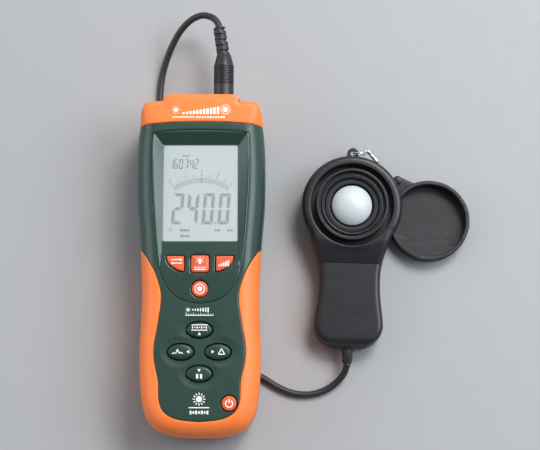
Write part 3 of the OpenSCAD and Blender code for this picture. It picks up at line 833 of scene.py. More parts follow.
def panel_depth(p):
    """Depth of the panel below the face: sloping facets around the display, almost level at the keys."""
    x, y = np.abs(p[:, 0]), p[:, 1]
    right = shield_loop[shield_loop[:, 0] > 0]
    right = right[np.argsort(right[:, 1])]
    edge_x = np.interp(np.clip(y, *PANEL_ENDS), right[:, 1], right[:, 0]) - PANEL_RIM
    from_x = np.interp(y, [FACETS_END, LCD_Y0], [23.3, LCD_X])
    side = np.clip((x - from_x) / np.maximum(edge_x - from_x, 0.4), 0, 1)
    top = np.clip((y - LCD_Y1) / (FACET_TOP - LCD_Y1), 0, 1)
    floor = panel_floor(y)
    out = np.maximum(np.where(y > FACETS_END, side, 0), top)
    return floor + (PANEL_LIP - floor) * out


def panel_top(p):
    return case_top(p) - panel_depth(p)


def lcd_top(p):
    """Height of the display glass, which lies along the panel's tilted floor."""
    return FACE - panel_floor(p[:, 1]) - LCD_SINK


def add_panel():
    """The shield-shaped panel, with its facets round the display and its holes for four keys."""
    rim = drawn_in(shield_loop, SEAM)
    window = rounded_box(-LCD_X, LCD_Y0, LCD_X, LCD_Y1, 1.1)
    holes = [window] + [key_hole(name) for name in panel_keys]
    corner = LCD_X - 0.3, LCD_Y1 - 0.3
    mitres = [[(s * corner[0], corner[1] + 0.35), (s * 27.1, 73.9)] for s in (-1, 1)]
    mitres.append([(x, FACET_TOP) for x in np.linspace(-26.2, 26.2, 40)])
    creases = [[(s * (LCD_X + 0.02), LCD_Y0 - 0.4), (s * 22.4, 1.8), (s * 23.2, -6.6)] for s in (-1, 1)]
    rings = np.vstack([edge_rings(rim, (0.3, 0.7, 1.2)), rings_round(holes, (0.3, 0.7))])

    def top(p):
        sunk = 0.25 * np.exp(-distance(p, rim) / 0.3)
        return panel_top(p) - np.maximum(sunk, hole_drop(p, panel_keys))

    points = np.vstack([grid(rim, 1.5, 1.6), rings])
    panel = slab(rim, top, lambda p: panel_top(p) - PANEL_THICK, holes, points, mitres + creases)
    add_piece("display_panel", panel, "meter", "panel_green")


# ---- flat signs: icons, bars and digits, each a list of closed loops

def box_sign(x0, y0, x1, y1, r=0.12):
    r = min(r, 0.45 * abs(x1 - x0), 0.45 * abs(y1 - y0))
    return [rounded_box(min(x0, x1), min(y0, y1), max(x0, x1), max(y0, y1), r, 3)]


def line_sign(a, b, w):
    """A straight bar from a to b."""
    a, b = np.array(a, float), np.array(b, float)
    way = (b - a) / np.linalg.norm(b - a)
    side = np.array([-way[1], way[0]]) * w / 2
    return [np.array([a - side, b - side, b + side, a + side])]


def arc_sign(centre, r, w, start, end, count):
    outer = arc(centre, r + w / 2, start, end, count)
    inner = arc(centre, r - w / 2, end, start, count)
    return [np.vstack([outer, inner])]


def disc_sign(centre, r):
    return [circle(centre, r, 24)]


def triangle_sign(centre, size, turn):
    return [arc(centre, size, turn, turn + 240, 3)]


def sun_sign(centre, r, rays=8):
    """A disc with short rays."""
    found = disc_sign(centre, r * 0.48)
    for k in range(rays):
        way = direction(360 * k / rays)
        found += line_sign(centre + way * r * 0.66, centre + way * r, r * 0.16)
    return found


def moved_sign(sign, by):
    return [loop + np.array(by) for loop in sign]


def swap_sign(w):
    """Two arrows that point opposite ways."""
    found = []
    for s in (-1, 1):
        y = s * 1.0
        found += line_sign((-s * w, y), (s * (w - 1.1), y), 0.5)
        found += triangle_sign((s * (w - 0.8), y), 0.95, 0 if s > 0 else 180)
    return found


def bulb_sign():
    found = disc_sign((0, 0), 1.15) + box_sign(-0.55, -2, 0.55, -1.25)
    for angle in (30, 90, 150, -20, 200):
        found += line_sign(direction(angle) * 1.55, direction(angle) * 2.3, 0.34)
    return found


def path_sign(corners, w):
    """A bent bar through the corners."""
    return [loop for a, b in zip(corners, corners[1:]) for loop in line_sign(a, b, w)]


def bars_sign(count, w, gap, step):
    """A row of bars that grow taller to the right."""
    return [loop for k in range(count)
            for loop in box_sign(k * (w + gap), 0, k * (w + gap) + w, 1 + step * k)]


def marks_sign(x, y, heights, w, gap):
    """A row of small upright bars of different heights, centred about y."""
    return [loop for k, h in enumerate(heights)
            for loop in box_sign(x + k * (w + gap), y - h / 2, x + k * (w + gap) + w, y + h / 2)]


def key_signs():
    """The icon on each key, about the middle of its top."""
    peak = [(-3.4, -1.2), (-2.2, -0.6), (-1.2, -1.0), (-0.2, 1.4), (0.8, -0.9), (1.8, -0.4), (2.8, -1.2)]
    record = arc_sign((0, 0), 2.7, 0.5, 0, 359, 48) + disc_sign((0, 0), 1.5)
    power = arc_sign((0, 0), 2.0, 0.6, 125, 415, 40) + box_sign(-0.3, 0.5, 0.3, 2.8)
    high_low = box_sign(-4.6, 1.5, 4.6, 2.0) + box_sign(-4.6, -1.5, 4.6, -1.0)
    high_low += marks_sign(-4.2, 0.25, (1.2, 0.6, 1.2, 0.6, 1.2, 0.6, 1.2), 0.7, 0.58)
    angle = path_sign([(-1.8, -1.4), (0, 1.7), (1.8, -1.4), (-1.8, -1.4)], 0.55)
    return {
        "units_key": moved_sign(swap_sign(3.2), (-13.4, -1.4)),
        "backlight_key": moved_sign(bulb_sign(), (0, -1.0)) + box_sign(-3.3, -6.4, 3.3, -5.8)
        + marks_sign(-3.2, -4.9, (0.8, 0.5, 0.8, 0.5, 0.8, 0.5), 0.7, 0.44),
        "range_key": moved_sign(bars_sign(5, 0.85, 0.45, 0.6), (10.6, -4.2)),
        "record_key": moved_sign(record, (0, -17.2)),
        "up_key": moved_sign(high_low, (0, -39.7)) + triangle_sign((0, -43.2), 1.1, 90),
        "left_key": moved_sign(path_sign(peak, 0.55), (-12.1, -53.2))
        + triangle_sign((-6.2, -53.2), 1.1, 180),
        "right_key": moved_sign(angle, (12.6, -53.2)) + triangle_sign((7.5, -53.2), 1.1, 0),
        "down_key": box_sign(-1.7, -68.4, -0.5, -65.8) + box_sign(0.5, -68.4, 1.7, -65.8)
        + triangle_sign((0, -63.6), 1.15, 270),
        "power_key": moved_sign(power, (17, -82.5)),
    }


# how far a mark stands out of its surface and how deep it is sunk: on keys, on the case and on the display
ON_KEY, ON_CASE, ON_GLASS = (0.05, 0.25), (0.03, 0.1), (0.03, 0.05)


def printed(signs, height, thick, root):
    """Signs raised a little above a surface whose height is a function of the plan."""
    parts = []
    for loop in signs:
        fine = subdivided(loop, 0.6)
        parts.append(slab(fine, lambda p: height(p) + thick, lambda p: height(p) - root, (),
                          grid(fine, 0.7, 0.25)))
    return join(*parts)


# ---- keys

# height of each key's middle above the face
KEY_TOPS = {"units_key": 0.2, "backlight_key": 0.2, "range_key": 0.2, "record_key": 0.2, "power_key": 0.8}
OVAL_TOP = 1.4
FLANGE_LOW, FLANGE_TOP = 44.1, 44.6
STEM_Z = 37.9
STEM_R = 1.7
STEMS = {"units_key": (-13, -1.5), "backlight_key": (0, -2.9), "range_key": (13, -1.5),
         "record_key": (0, -17.2), "power_key": (17, -82.3), **OVALS}


def key_surface(name):
    """Height of a key's crowned top with its rounded edge."""
    loop = key_loops[name]
    top = FACE + KEY_TOPS.get(name, OVAL_TOP)
    middle = loop.mean(0)
    reach = np.linalg.norm(loop - middle, axis=1).max()
    crown = 0.5 if name in OVALS else 0.15
    edge = 1.5 if name in OVALS else 0.8

    def height(p):
        away = np.linalg.norm(p[:, :2] - middle, axis=1) / reach
        return top - crown * away ** 2 - round_over(depth_in(p, loop), edge, 0.75 * edge)
    return height


def add_keys():
    """The nine keys, each with a flange and a stem below its top and its icon printed on it."""
    for name, signs in key_signs().items():
        loop = key_loops[name]
        height = key_surface(name)
        points = np.vstack([edge_rings(loop, (0.08, 0.22, 0.42, 0.7, 1.05, 1.5)), grid(loop, 0.8, 1.6)])
        low = FLANGE_LOW - (0.5 if name == "power_key" else 0)
        flange = drawn_in(loop, -0.5)
        body = join(slab(loop, height, FLANGE_TOP, (), points), slab(flange, FLANGE_TOP, low),
                    rod(STEMS[name], STEM_R, STEM_Z, low, 24))
        kind = "key_green" if name in OVALS else "key_orange"
        add_piece(name, body, name, kind)
        legend = printed(signs, height, *ON_KEY)
        add_piece(name.replace("key", "legend"), legend, name, "legend_white")


# ---- printed marks on the case

def add_prints():
    """The brightness scale on the top grip, and the marks between the keys and above the bottom edge."""
    scale = sun_sign(np.array((-14.6, 0.2)), 2.4)
    scale += moved_sign(bars_sign(11, 1.35, 0.65, 0.34), (-10.8, -2.3))
    scale += sun_sign(np.array((14.2, 0.4)), 3.2, 12)
    scale += box_sign(-16.6, -4.3, -3.4, -3.8)
    scale += marks_sign(-2.6, -4.1, (1.3, 0.8, 1.0, 0.8, 1.0, 1.3, 0.8, 1.0, 0.8, 1.0, 1.3), 0.95, 0.6)
    on_grip = printed(moved_sign(scale, (0, 87.2)), lambda p: case_top(p) + GRIP_STEP, *ON_CASE)
    add_piece("scale_print", on_grip, "meter", "legend_white")
    small = sun_sign(np.array((-6.6, -29.2)), 1.5)
    small += marks_sign(-4.2, -29.2, (0.9, 1.2, 1.5, 1.8, 2.1, 2.4, 2.7), 0.7, 0.75)
    small += box_sign(-8.0, -32.6, 7.8, -32.2)
    small += [loop for k in range(12) for loop in
              box_sign(-7.9 + 1.4 * k, -32.2, -7.6 + 1.4 * k, -31.4 if k % 3 else -30.9)]
    add_piece("dial_print", printed(small, case_top, *ON_CASE), "meter", "legend_white")
    badge = sun_sign(np.array((0, -79.9)), 3.6, 12) + box_sign(-5.8, -85.0, 5.8, -84.4)
    badge += marks_sign(-5.2, -87.4, (2.0, 1.4, 2.0, 1.4, 2.0, 1.4, 2.0), 1.0, 0.58)
    add_piece("badge_print", printed(badge, case_top, *ON_CASE), "meter", "legend_white")


# ---- the display

# the segments of each digit, from the top one clockwise as a to f, with g in the middle
SEGMENTS = {"0": "abcdef", "1": "bc", "2": "abged", "3": "abgcd", "4": "fgbc", "6": "acdefg", "7": "abc"}
SLANT = 0.08                    # how far a digit leans to the right for its height
DIAL_AT = np.array((0.45, 19.2))        # centre of the curved bar graph
DIAL_R = 27.35
DIAL_MIDDLE = 90                # angle of the dial's middle mark, in degrees
MARK_ANGLE = 8.65               # between two marks of the dial
BAND_START, BAND_STEP, BAND_BAR = 125.4, 1.77, 1.45     # angles of the bar graph's bars


def digit_sign(value, corner, w, h, t):
    """One digit of seven segments, leaning a little to the right."""
    m = h / 2
    g = t * 0.14
    bars = {
        "a": [(g, h), (w - g, h), (w - g - t, h - t), (g + t, h - t)],
        "d": [(g, 0), (w - g, 0), (w - g - t, t), (g + t, t)],
        "g": [(g + t / 2, m), (g + t, m + t / 2), (w - g - t, m + t / 2), (w - g - t / 2, m),
              (w - g - t, m - t / 2), (g + t, m - t / 2)],
        "f": [(0, h - g), (t, h - g - t), (t, m + g + t / 2), (t / 2, m + g), (0, m + g + t / 3)],
        "e": [(0, g), (t, g + t), (t, m - g - t / 2), (t / 2, m - g), (0, m - g - t / 3)],
        "b": [(w, h - g), (w - t, h - g - t), (w - t, m + g + t / 2), (w - t / 2, m + g), (w, m + g + t / 3)],
        "c": [(w, g), (w - t, g + t), (w - t, m - g - t / 2), (w - t / 2, m - g), (w, m - g - t / 3)],
    }
    found = []
    for part in SEGMENTS[value]:
        loop = np.array(bars[part], float)
        loop[:, 0] += loop[:, 1] * SLANT
        found.append(loop + np.array(corner))
    return found


def add_display():
    """The display: its glass, the window over it, the digits, the small marks and the curved bar graph."""
    glass = rounded_box(-23, 9, 23, 69, 0.5, 3)
    rows = np.column_stack([np.zeros(3), (20, 40, 60)])
    panel = slab(glass, lcd_top, lambda p: lcd_top(p) - 1.5, (), rows)
    add_piece("lcd_panel", panel, "meter", "display_grey")
    pane = rounded_box(-22.6, 9.6, 22.6, 68.4, 0.5, 3)
    window = slab(pane, lambda p: lcd_top(p) + 0.5, lambda p: lcd_top(p) + 0.25, (), rows)
    add_piece("display_window", window, "meter", "window_clear")

    large = box_sign(8.05, 20.7, 9.05, 21.7, 0.3)
    for value, x in zip("2400", (-17.2, -8.5, 0.5, 9.6)):
        large += digit_sign(value, (x, 20.5), 6.5, 18.3, 1.95)
    add_piece("display_digits", printed(large, lcd_top, *ON_GLASS), "meter", "segment_grey")

    small = []
    for value, x in zip("160742", (-18.3, -15.75, -12.8, -9.9, -6.75, -3.95)):
        small += digit_sign(value, (x, 53.3), 2.15, 5.8, 0.55)
    for x in (-13.25, -7.35):
        small += disc_sign((x, 55.2), 0.3) + disc_sign((x + 0.16, 57.3), 0.3)
    small += line_sign(DIAL_AT + (0, DIAL_R - 1.7), DIAL_AT + (0, DIAL_R + 1.7), 0.35)
    for k in range(9):
        way = direction(DIAL_MIDDLE + MARK_ANGLE * (4 - k))
        small += line_sign(DIAL_AT + way * 29.7, DIAL_AT + way * (30.7 if k % 2 else 31.3), 0.38)
        if k % 2 == 0:
            small += digit_sign("01234"[k // 2], DIAL_AT + way * 32.6 - (0.45, 0.6), 0.9, 1.6, 0.25)
    small += marks_sign(-10.5, 61.1, (1.0, 0.8, 1.0, 0.8, 1.0), 0.55, 0.28)
    clock = (-17.1, 17.0)
    small += arc_sign(clock, 1.05, 0.3, 20, 320, 20) + line_sign(clock, (-16.5, 17.7), 0.3)
    for x, y, heights in ((-11.5, 17.0, (1.7, 1.2, 1.7, 1.2, 1.2)), (-11.5, 13.6, (1.6, 1.6, 1.2, 1.6, 1.4)),
                          (8.2, 17.0, (1.3, 1.0, 1.3)), (15.6, 17.0, (1.5, 1.1, 1.1))):
        small += marks_sign(x, y, heights, 0.78, 0.34)
    add_piece("display_marks", printed(small, lcd_top, *ON_GLASS), "meter", "segment_dark")

    starts = [BAND_START - BAND_STEP * k for k in range(40)]
    band = [loop for a in starts for loop in arc_sign(DIAL_AT, DIAL_R, 3.1, a, a - BAND_BAR, 3)]
    add_piece("display_band", printed(band, lcd_top, *ON_GLASS), "meter", "segment_pale")


# ---- back of the meter

BARE_SIDE = (10.1, 78.0)        # y between which no grip covers the rear case's side
BACK_WALL = 2.4
CASE_SCREWS = [(x, y) for x in (-26, 26) for y in (-76, 79)]
CASE_SCREW_HOLE = 3
TRIPOD_R = 7.05
STAND_AXIS = (52, 2.7)          # y and z of the stand's hinge
LID = (-14.7, -84.7, 14.7, -34.8)
LID_TOP = 7.0
LID_SCREW = (0, -86.6)
FOOT_TOP = 6.2


def add_rear_case():
    bare = (case_loop[:, 1] > BARE_SIDE[0]) & (case_loop[:, 1] < BARE_SIDE[1])
    inset = np.where(bare, 0.02, GRIP_THICK + 0.1)
    shifted = drawn_in(case_loop, 1.0) - case_loop
    loop = case_loop + shifted * inset[:, None]
    battery = rounded_box(-14.85, -84.85, 14.85, -34.65, 0.8, 4)
    holes = [circle(c, CASE_SCREW_HOLE, 32) for c in CASE_SCREWS] + [circle((0, 0), TRIPOD_R, 48), battery]
    rings = np.vstack([edge_rings(case_loop, (2.4, 2.5, 2.75, 3.1, 3.6, 4.3)),
                       edge_rings(loop, (0.2, 0.6, 1.2, 1.9)), edge_rings(loop, (2.35, 2.6)),
                       rings_round(holes, (0.25, 0.5, 1.0))])

    def under(p):
        edge = np.full(len(p), 9.0)
        for hole in holes:
            edge = np.minimum(edge, distance(p, hole))
        return case_back(p) + round_over(edge, 0.45, 0.35)

    def inner(p):
        return np.where(depth_in(p, loop) < 2.45, SPLIT - 0.1, BACK + BACK_WALL)

    points = np.vstack([rings, grid(case_loop, 3.2, 5)])
    add_piece("rear_case", slab(loop, inner, under, holes, points), "meter", "case_green")


def add_collar_and_ears():
    """The collar round the tripod thread, and the two ears that hold the stand's pin."""
    collar = lathe(soften([(7.15, 0.5), (8.9, 0.5), (9.4, 5.4), (7.15, 5.4)], 0.4), (0, 0), 64)

    def low(p):
        return 0.7 + round_over(3 - np.abs(p[:, 1] - STAND_AXIS[0]), 1.2, 1.0)

    ears = [slab(rounded_box(x - 1.5, 49, x + 1.5, 55, 0.6, 4), 5.6, low) for x in (-21.8, 21.8)]
    add_piece("tripod_collar", collar, "meter", "case_green")
    add_piece("stand_ears", join(*ears), "meter", "case_green")


def add_battery_cover():
    """The battery cover with its finger ridges and its screw tab."""
    lid = rounded_box(*LID, 0.7, 4)
    ridges = [box_sign(-9, y, 9, y + 1.1, 0.5)[0] for y in (-70, -66.5, -63, -59.5, -56)]
    tab = rounded_box(-5.7, -89.1, 5.7, -84.0, 0.8, 4)
    points = np.vstack([edge_rings(lid, (0.15, 0.4, 0.8)), grid(lid, 1.5, 1.2),
                        rings_round(ridges, (0.15, 0.4)), rings_round(ridges, (-0.15, -0.35))])

    def lid_back(p):
        raised = np.zeros(len(p))
        for ridge in ridges:
            raised = np.maximum(raised, np.clip(depth_in(p, ridge) / 0.35, 0, 1) * 0.55)
        return BACK + round_over(depth_in(p, lid), 0.5, 0.4) + 0.35 - raised * 0.9

    cover = join(slab(lid, LID_TOP, lid_back, (), points),
                 slab(tab, LID_TOP, BACK + 0.35, [circle(LID_SCREW, 2.35, 32)]))
    add_piece("battery_cover", cover, "meter", "case_green")


def add_screws():
    """The battery cover's screw and the case's four screws."""
    head = cross_head(LID_SCREW, 2.2, BACK + 0.15, 1.0)
    lid_screw = join(head, rod(LID_SCREW, 1.05, BACK + 1.0, BACK + BACK_WALL, 24))
    add_piece("battery_cover_screw", lid_screw, "meter", "steel")
    heads = [cross_head(c, 2.75, BACK + 2.0, 1.6) for c in CASE_SCREWS]
    shanks = [rod(c, 1.45, BACK + 3.6, SPLIT + 6, 24) for c in CASE_SCREWS]
    add_piece("case_screws", join(*heads, *shanks), "meter", "steel")


def add_feet():
    """Two round feet under the display's end and a ribbed strip under the other end."""
    profile = [(0, 0), (4.0, 0), (4.6, 0.2), (4.9, 0.7), (5, 1.4), (5, FOOT_TOP), (0, FOOT_TOP)]
    feet = [lathe(profile, c, 48) for c in ((-15, 87), (15, 87))]
    strip = rounded_box(-20, -96, 20, -90.5, 1.4, 5)
    ribs = np.vstack([edge_rings(strip, (0.2, 0.6, 1.1)), grid(strip, 0.7, 1.2)])

    def strip_low(p):
        return round_over(depth_in(p, strip), 1.1, 0.9) + 0.25 * (np.cos(p[:, 0] * 2.1) > 0.3)

    feet.append(slab(strip, FOOT_TOP, strip_low, (), ribs))
    add_piece("rubber_feet", join(*feet), "meter", "black_rubber")


def cross_head(centre, r, z, t):
    """A pan head seen from below, with a cross recess."""
    arm, wide = r * 0.62, r * 0.17
    quarter = [(wide, wide), (wide, arm), (-wide, arm), (-wide, wide), (-arm, wide), (-arm, -wide)]
    cross = np.array(quarter + [(-x, -y) for x, y in quarter]) + centre
    rim = circle(centre, r, 40)
    rings = [rings_round([rim], (-0.12, -0.35, -0.7)), cross, rings_round([cross], (0.12, -0.1))]

    def low(p):
        recess = np.clip(depth_in(p, cross) / 0.1, 0, 1) * 0.55 * t
        return z + round_over(depth_in(p, rim), 0.7, 0.45) + recess

    return slab(rim, z + t, low, (), np.vstack(rings))


def add_stand():
    """The tilt stand: a flat frame and the barrel of its hinge."""
    outline = rounded_box(-20, -28, 20, 51, 3.0, 8)
    window = rounded_box(-12.5, -16, 12.5, 36, 3.0, 8)
    depths = (0.2, 0.6, 1.2, 2.2, 2.5)
    points = np.vstack([edge_rings(outline, depths), grid(outline, 2.2, 2.8), rings_round([window], depths)])

    def edge(p):
        return np.minimum(depth_in(p, outline), distance(p, window))

    def low(p):
        groove = np.clip((edge(p) - 2.2) / 0.3, 0, 1) * 0.6
        return 0.7 + round_over(edge(p), 1.1, 0.9) + groove

    def high(p):
        return 4.5 - round_over(edge(p), 0.8, 0.6)

    frame_part = slab(outline, high, low, [window], points)
    barrel = lathe(soften([(1.06, 0), (2, 0), (2, 40), (1.06, 40)], 0.2), (0, 0), 40)
    barrel = turned(barrel, (-20, *STAND_AXIS), (20, *STAND_AXIS))
    add_piece("tilt_stand", join(frame_part, barrel), "stand", "case_green")


# ---- plug, socket and cord

PLUG_Y = 98.3
PLUG_DIRECTION = (PLUG_X, 200, PLUG_Z)      # a point that the plug's axis runs towards
RELIEF_Y = 126
RELIEF_LEAN = 9                 # degrees to the left of the plug's axis
RELIEF_LONG = 17.6
CORD_R = 1.98
CORD_ROUTE = [
    (9.5, 143.4, 25), (8.7, 146.2, 24.8), (6.6, 149, 24.2), (3.2, 151, 23.2), (-1.2, 151.8, 21.8),
    (-6, 150.6, 19.6), (-10.9, 147.6, 16.6), (-15.6, 142.6, 12.8), (-19.9, 135.5, 8.8), (-23.5, 127, 5.2),
    (-26, 117.5, 2.8), (-27, 107, 2), (-27, 92, 2), (-27, 66, 2), (-27, 36, 2), (-27, 6, 2), (-27, -20, 2),
    (-25.5, -38, 2), (-20, -50, 2), (-10, -57.5, 2), (3, -60.5, 2), (17, -60.5, 2), (28, -61.8, 2),
    (36, -65.2, 2), (43, -69.6, 2), (50, -73, 2), (57.5, -74.8, 2), (66, -74.6, 2), (74, -71.8, 2.3),
    (80, -67.4, 3.6), (83.8, -62.8, 5.8), (85.5, -58.2, 8.1)]


def wavy(part, start, step, count, depth, gap):
    """Slots cut round a sleeve, each one deep on one side and shallow on the other by turns."""
    points, faces = part
    angle = np.arctan2(points[:, 1], points[:, 0])
    far = np.hypot(points[:, 0], points[:, 1])
    cut_in = np.zeros(len(points))
    for k in range(count):
        side = np.cos(angle - math.pi * (k % 2))
        off = np.abs(points[:, 2] - (start + step * k + 0.25 * np.sin(2 * angle)))
        slot = np.clip(0.75 + 0.6 * side, 0, 1) * np.clip((gap - off) / 0.25, 0, 1)
        cut_in = np.maximum(cut_in, depth * slot)
    points[:, :2] *= np.where(far > 2.5, 1 - cut_in / np.maximum(far, 1e-6), 1)[:, None]
    return points, faces


def add_lead():
    """The ribbed plug, its strain relief and the cord from it to the sensor."""
    ribs = [(0, 0), (5.65, 0), (5.95, 0.35), (5.95, 9.4)]
    for k in range(8):
        z = 9.9 + 1.45 * k
        ribs += [(5.55, z), (5.55, z + 0.35), (6.05, z + 0.6), (6.05, z + 1.1)]
    body = ribs + [(5.75, 22.0), (5.6, 22.6), (4.35, 27.6), (4.1, 28.0), (0, 28.0)]
    plug_part = turned(lathe(body, count=120), (PLUG_X, PLUG_Y, PLUG_Z), PLUG_DIRECTION)
    plug = add_piece("plug_body", plug_part, "lead", "black_plastic")

    sleeve_line = [(0, 0), (3.85, 0)] + [(3.9 - 0.3 * z / RELIEF_LONG, z) for z in np.arange(0.2, 17.2, 0.2)]
    sleeve_line += [(3.4, 17.4), (3.1, RELIEF_LONG), (0, RELIEF_LONG)]
    relief = wavy(lathe(sleeve_line, count=72), 2.2, 3.4, 5, 0.95, 0.75)
    start = Vector((PLUG_X - 0.2, RELIEF_Y, PLUG_Z))
    lean = Vector((*direction(90 + RELIEF_LEAN), 0))
    sleeve = add_piece("plug_relief", turned(relief, start, start + lean), "lead", "black_rubber")

    line = smooth_line(CORD_ROUTE, 6)
    cord = make_object("sensor_cord", sweep(line, CORD_R, 20))
    shade_smooth(cord)
    paint(cord, "black_rubber")
    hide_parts("sensor_cord")
    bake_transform(cord)


def add_socket():
    ring = soften([(4.8, 0), (7, 0), (7, 13.1), (4.8, 13.1)], 0.35)
    socket = turned(lathe(ring, (0, 0), 64), (PLUG_X, 84.7, PLUG_Z), PLUG_DIRECTION)
    add_piece("sensor_socket", socket, "meter", "black_plastic")


# ---- sensor

SENSOR_AT = (88.9, 36.5)
SENSOR_TURN = math.radians(-2)
PADDLE = [(0, -85), (8, -84.6), (14, -82.3), (18.2, -78.2), (20.3, -73), (20.1, -66.5), (18.9, -58),
          (18.1, -48), (18.4, -38), (20, -30), (23.2, -20.4), (25.8, -14.4)]
HEAD_R = 30.0
GROOVE_R = 24.6                 # the groove round the diffuser's ring, and the height of its floor
GROOVE_Z = 12.9
DRUM_R = 22.0                   # the round drum under the head
SHELL_SPLIT = 12.0
SHELL_GAP = 0.1                 # half of the gap between the two shells
HEAD_TOP = 20
HANDLE_TOP = 16.5
CREASE_Y = -34.5                # where the slope behind the head meets the handle
DRUM_STEP_Y = -19               # where the drum's back steps to the handle's back
SENSOR_SCREWS = [(0, -14), (0, -72)]
LUG_AT = (0, 32.5)
DOME_TOP, DOME_R, DOME_RISE = 22, 12.0, 5.5
paddle_half = np.vstack([smooth_line(PADDLE, 8)[:-1], arc((0, 0), HEAD_R, -29, 90, 50)])
paddle_loop = resample(both_sides(paddle_half), 1.0)


def on_sensor(part):
    """A part made about the sensor's head, put in its place on the table."""
    points, faces = part
    c, s = math.cos(SENSOR_TURN), math.sin(SENSOR_TURN)
    p = np.asarray(points, float)
    x = c * p[:, 0] - s * p[:, 1] + SENSOR_AT[0]
    y = s * p[:, 0] + c * p[:, 1] + SENSOR_AT[1]
    return np.column_stack([x, y, p[:, 2]]), faces


def radius(p):
    """Distance of each point from the middle of the head."""
    return np.hypot(p[:, 0], p[:, 1])


def paddle_height(p):
    """Height of the sensor's front before its edge is rounded: the head, the slope and the handle."""
    y = p[:, 1]
    back = np.clip((-y - 20) / 14.5, 0, 1)
    gate = np.clip((radius(p) - 25.0) / 3.5, 0, 1)
    slope = HEAD_TOP - 3.0 * back ** 1.4 * gate
    handle = HANDLE_TOP - 2.2 * np.clip((-y - 79) / 5.5, 0, 1) ** 2
    return np.where(y < CREASE_Y, handle, slope)


def circles(radii):
    """Rings of points about the middle of the head."""
    return np.vstack([circle((0, 0), r, 150) for r in radii])


paddle_edge = edge_rings(paddle_loop, (0.08, 0.25, 0.55, 0.95, 1.45, 2.0, 2.7, 3.5))


def add_front_shell():
    groove_rings = circles((16.6, 19, 21.5, 23.8, 24.3, GROOVE_R, 24.64, 24.7, 24.85, 25.1, 25.4, 26, 27, 28))
    creases = np.array([(x, y) for y in (-34.4, -34.56) for x in np.arange(-20, 20.1, 0.8)])
    middle = grid(paddle_loop, 1.6, 4)
    middle = middle[(np.abs(radius(middle) - GROOVE_R) > 1.6) & (np.abs(middle[:, 1] - CREASE_Y) > 0.8)]
    points = np.vstack([paddle_edge[np.abs(radius(paddle_edge) - 25.6) > 1.4], groove_rings, creases, middle])

    def front(p):
        r = radius(p)
        rim = np.clip(1 - (r - GROOVE_R) / 0.7, 0, 1)
        lip = np.where(r >= GROOVE_R, 0.5 * (1 - np.sqrt(np.maximum(1 - rim * rim, 0))), 0)
        high = paddle_height(p) - round_over(depth_in(p, paddle_loop), 3.2, 3.6) - lip
        return np.where(r < GROOVE_R + 0.02, GROOVE_Z, np.maximum(high, SHELL_SPLIT + 0.5))

    shell = slab(paddle_loop, front, SHELL_SPLIT + SHELL_GAP, [circle((0, 0), 16.3, 96)], points)
    add_piece("sensor_front_shell", on_sensor(shell), "sensor", "sensor_black")


def add_rear_shell():
    """The sensor's rear shell with its round drum, and the lug at its end that holds the tether's ring."""
    drum_rings = circles((20.4, 21.2, 21.7, 21.95, 22.05, 23, 26, 28.5))
    step_line = np.array([(x, y) for y in (-18.92, -19.08) for x in np.arange(-23, 23.1, 0.8)])
    holes = [circle(c, 2.5, 32) for c in SENSOR_SCREWS]

    def back(p):
        r = radius(p)
        handle = round_over(depth_in(p, paddle_loop), 2.6, 2.4)
        brim = 10 + 2 * (r - DRUM_R) / (HEAD_R - DRUM_R)
        drum = np.where(r < DRUM_R, round_over(DRUM_R - r, 1.6, 1.2), brim)
        low = np.where(p[:, 1] < DRUM_STEP_Y, np.minimum(handle, drum), drum)
        return np.minimum(low, SHELL_SPLIT - 0.6)

    below = grid(paddle_loop, 2.2, 4)
    below = below[(np.abs(radius(below) - DRUM_R) > 1.2) & (np.abs(below[:, 1] - DRUM_STEP_Y) > 0.9)]
    points = np.vstack([paddle_edge, drum_rings, step_line, below, rings_round(holes, (0.3,))])
    rear = slab(paddle_loop, SHELL_SPLIT - SHELL_GAP, back, holes, points)
    root = [(-3.9, 30.6), (-6.4, 28.6), (-5, 24), (5, 24), (6.4, 28.6), (3.9, 30.6)]
    lug_loop = np.vstack([arc(LUG_AT, 3.4, -10, 190, 24), root])
    lug = slab(lug_loop, lambda p: 12 - round_over(depth_in(p, lug_loop), 0.6, 0.5), 9.0,
               [circle(LUG_AT, 1.5, 32)], edge_rings(lug_loop, (0.2, 0.5)))
    add_piece("sensor_rear_shell", on_sensor(join(rear, lug)), "sensor", "sensor_black")
    heads = [cross_head(c, 2.4, 0.4, 1.4) for c in SENSOR_SCREWS]
    shanks = [rod(c, 1.2, 1.8, 10.4, 24) for c in SENSOR_SCREWS]
    add_piece("sensor_screws", on_sensor(join(*heads, *shanks)), "sensor", "steel")


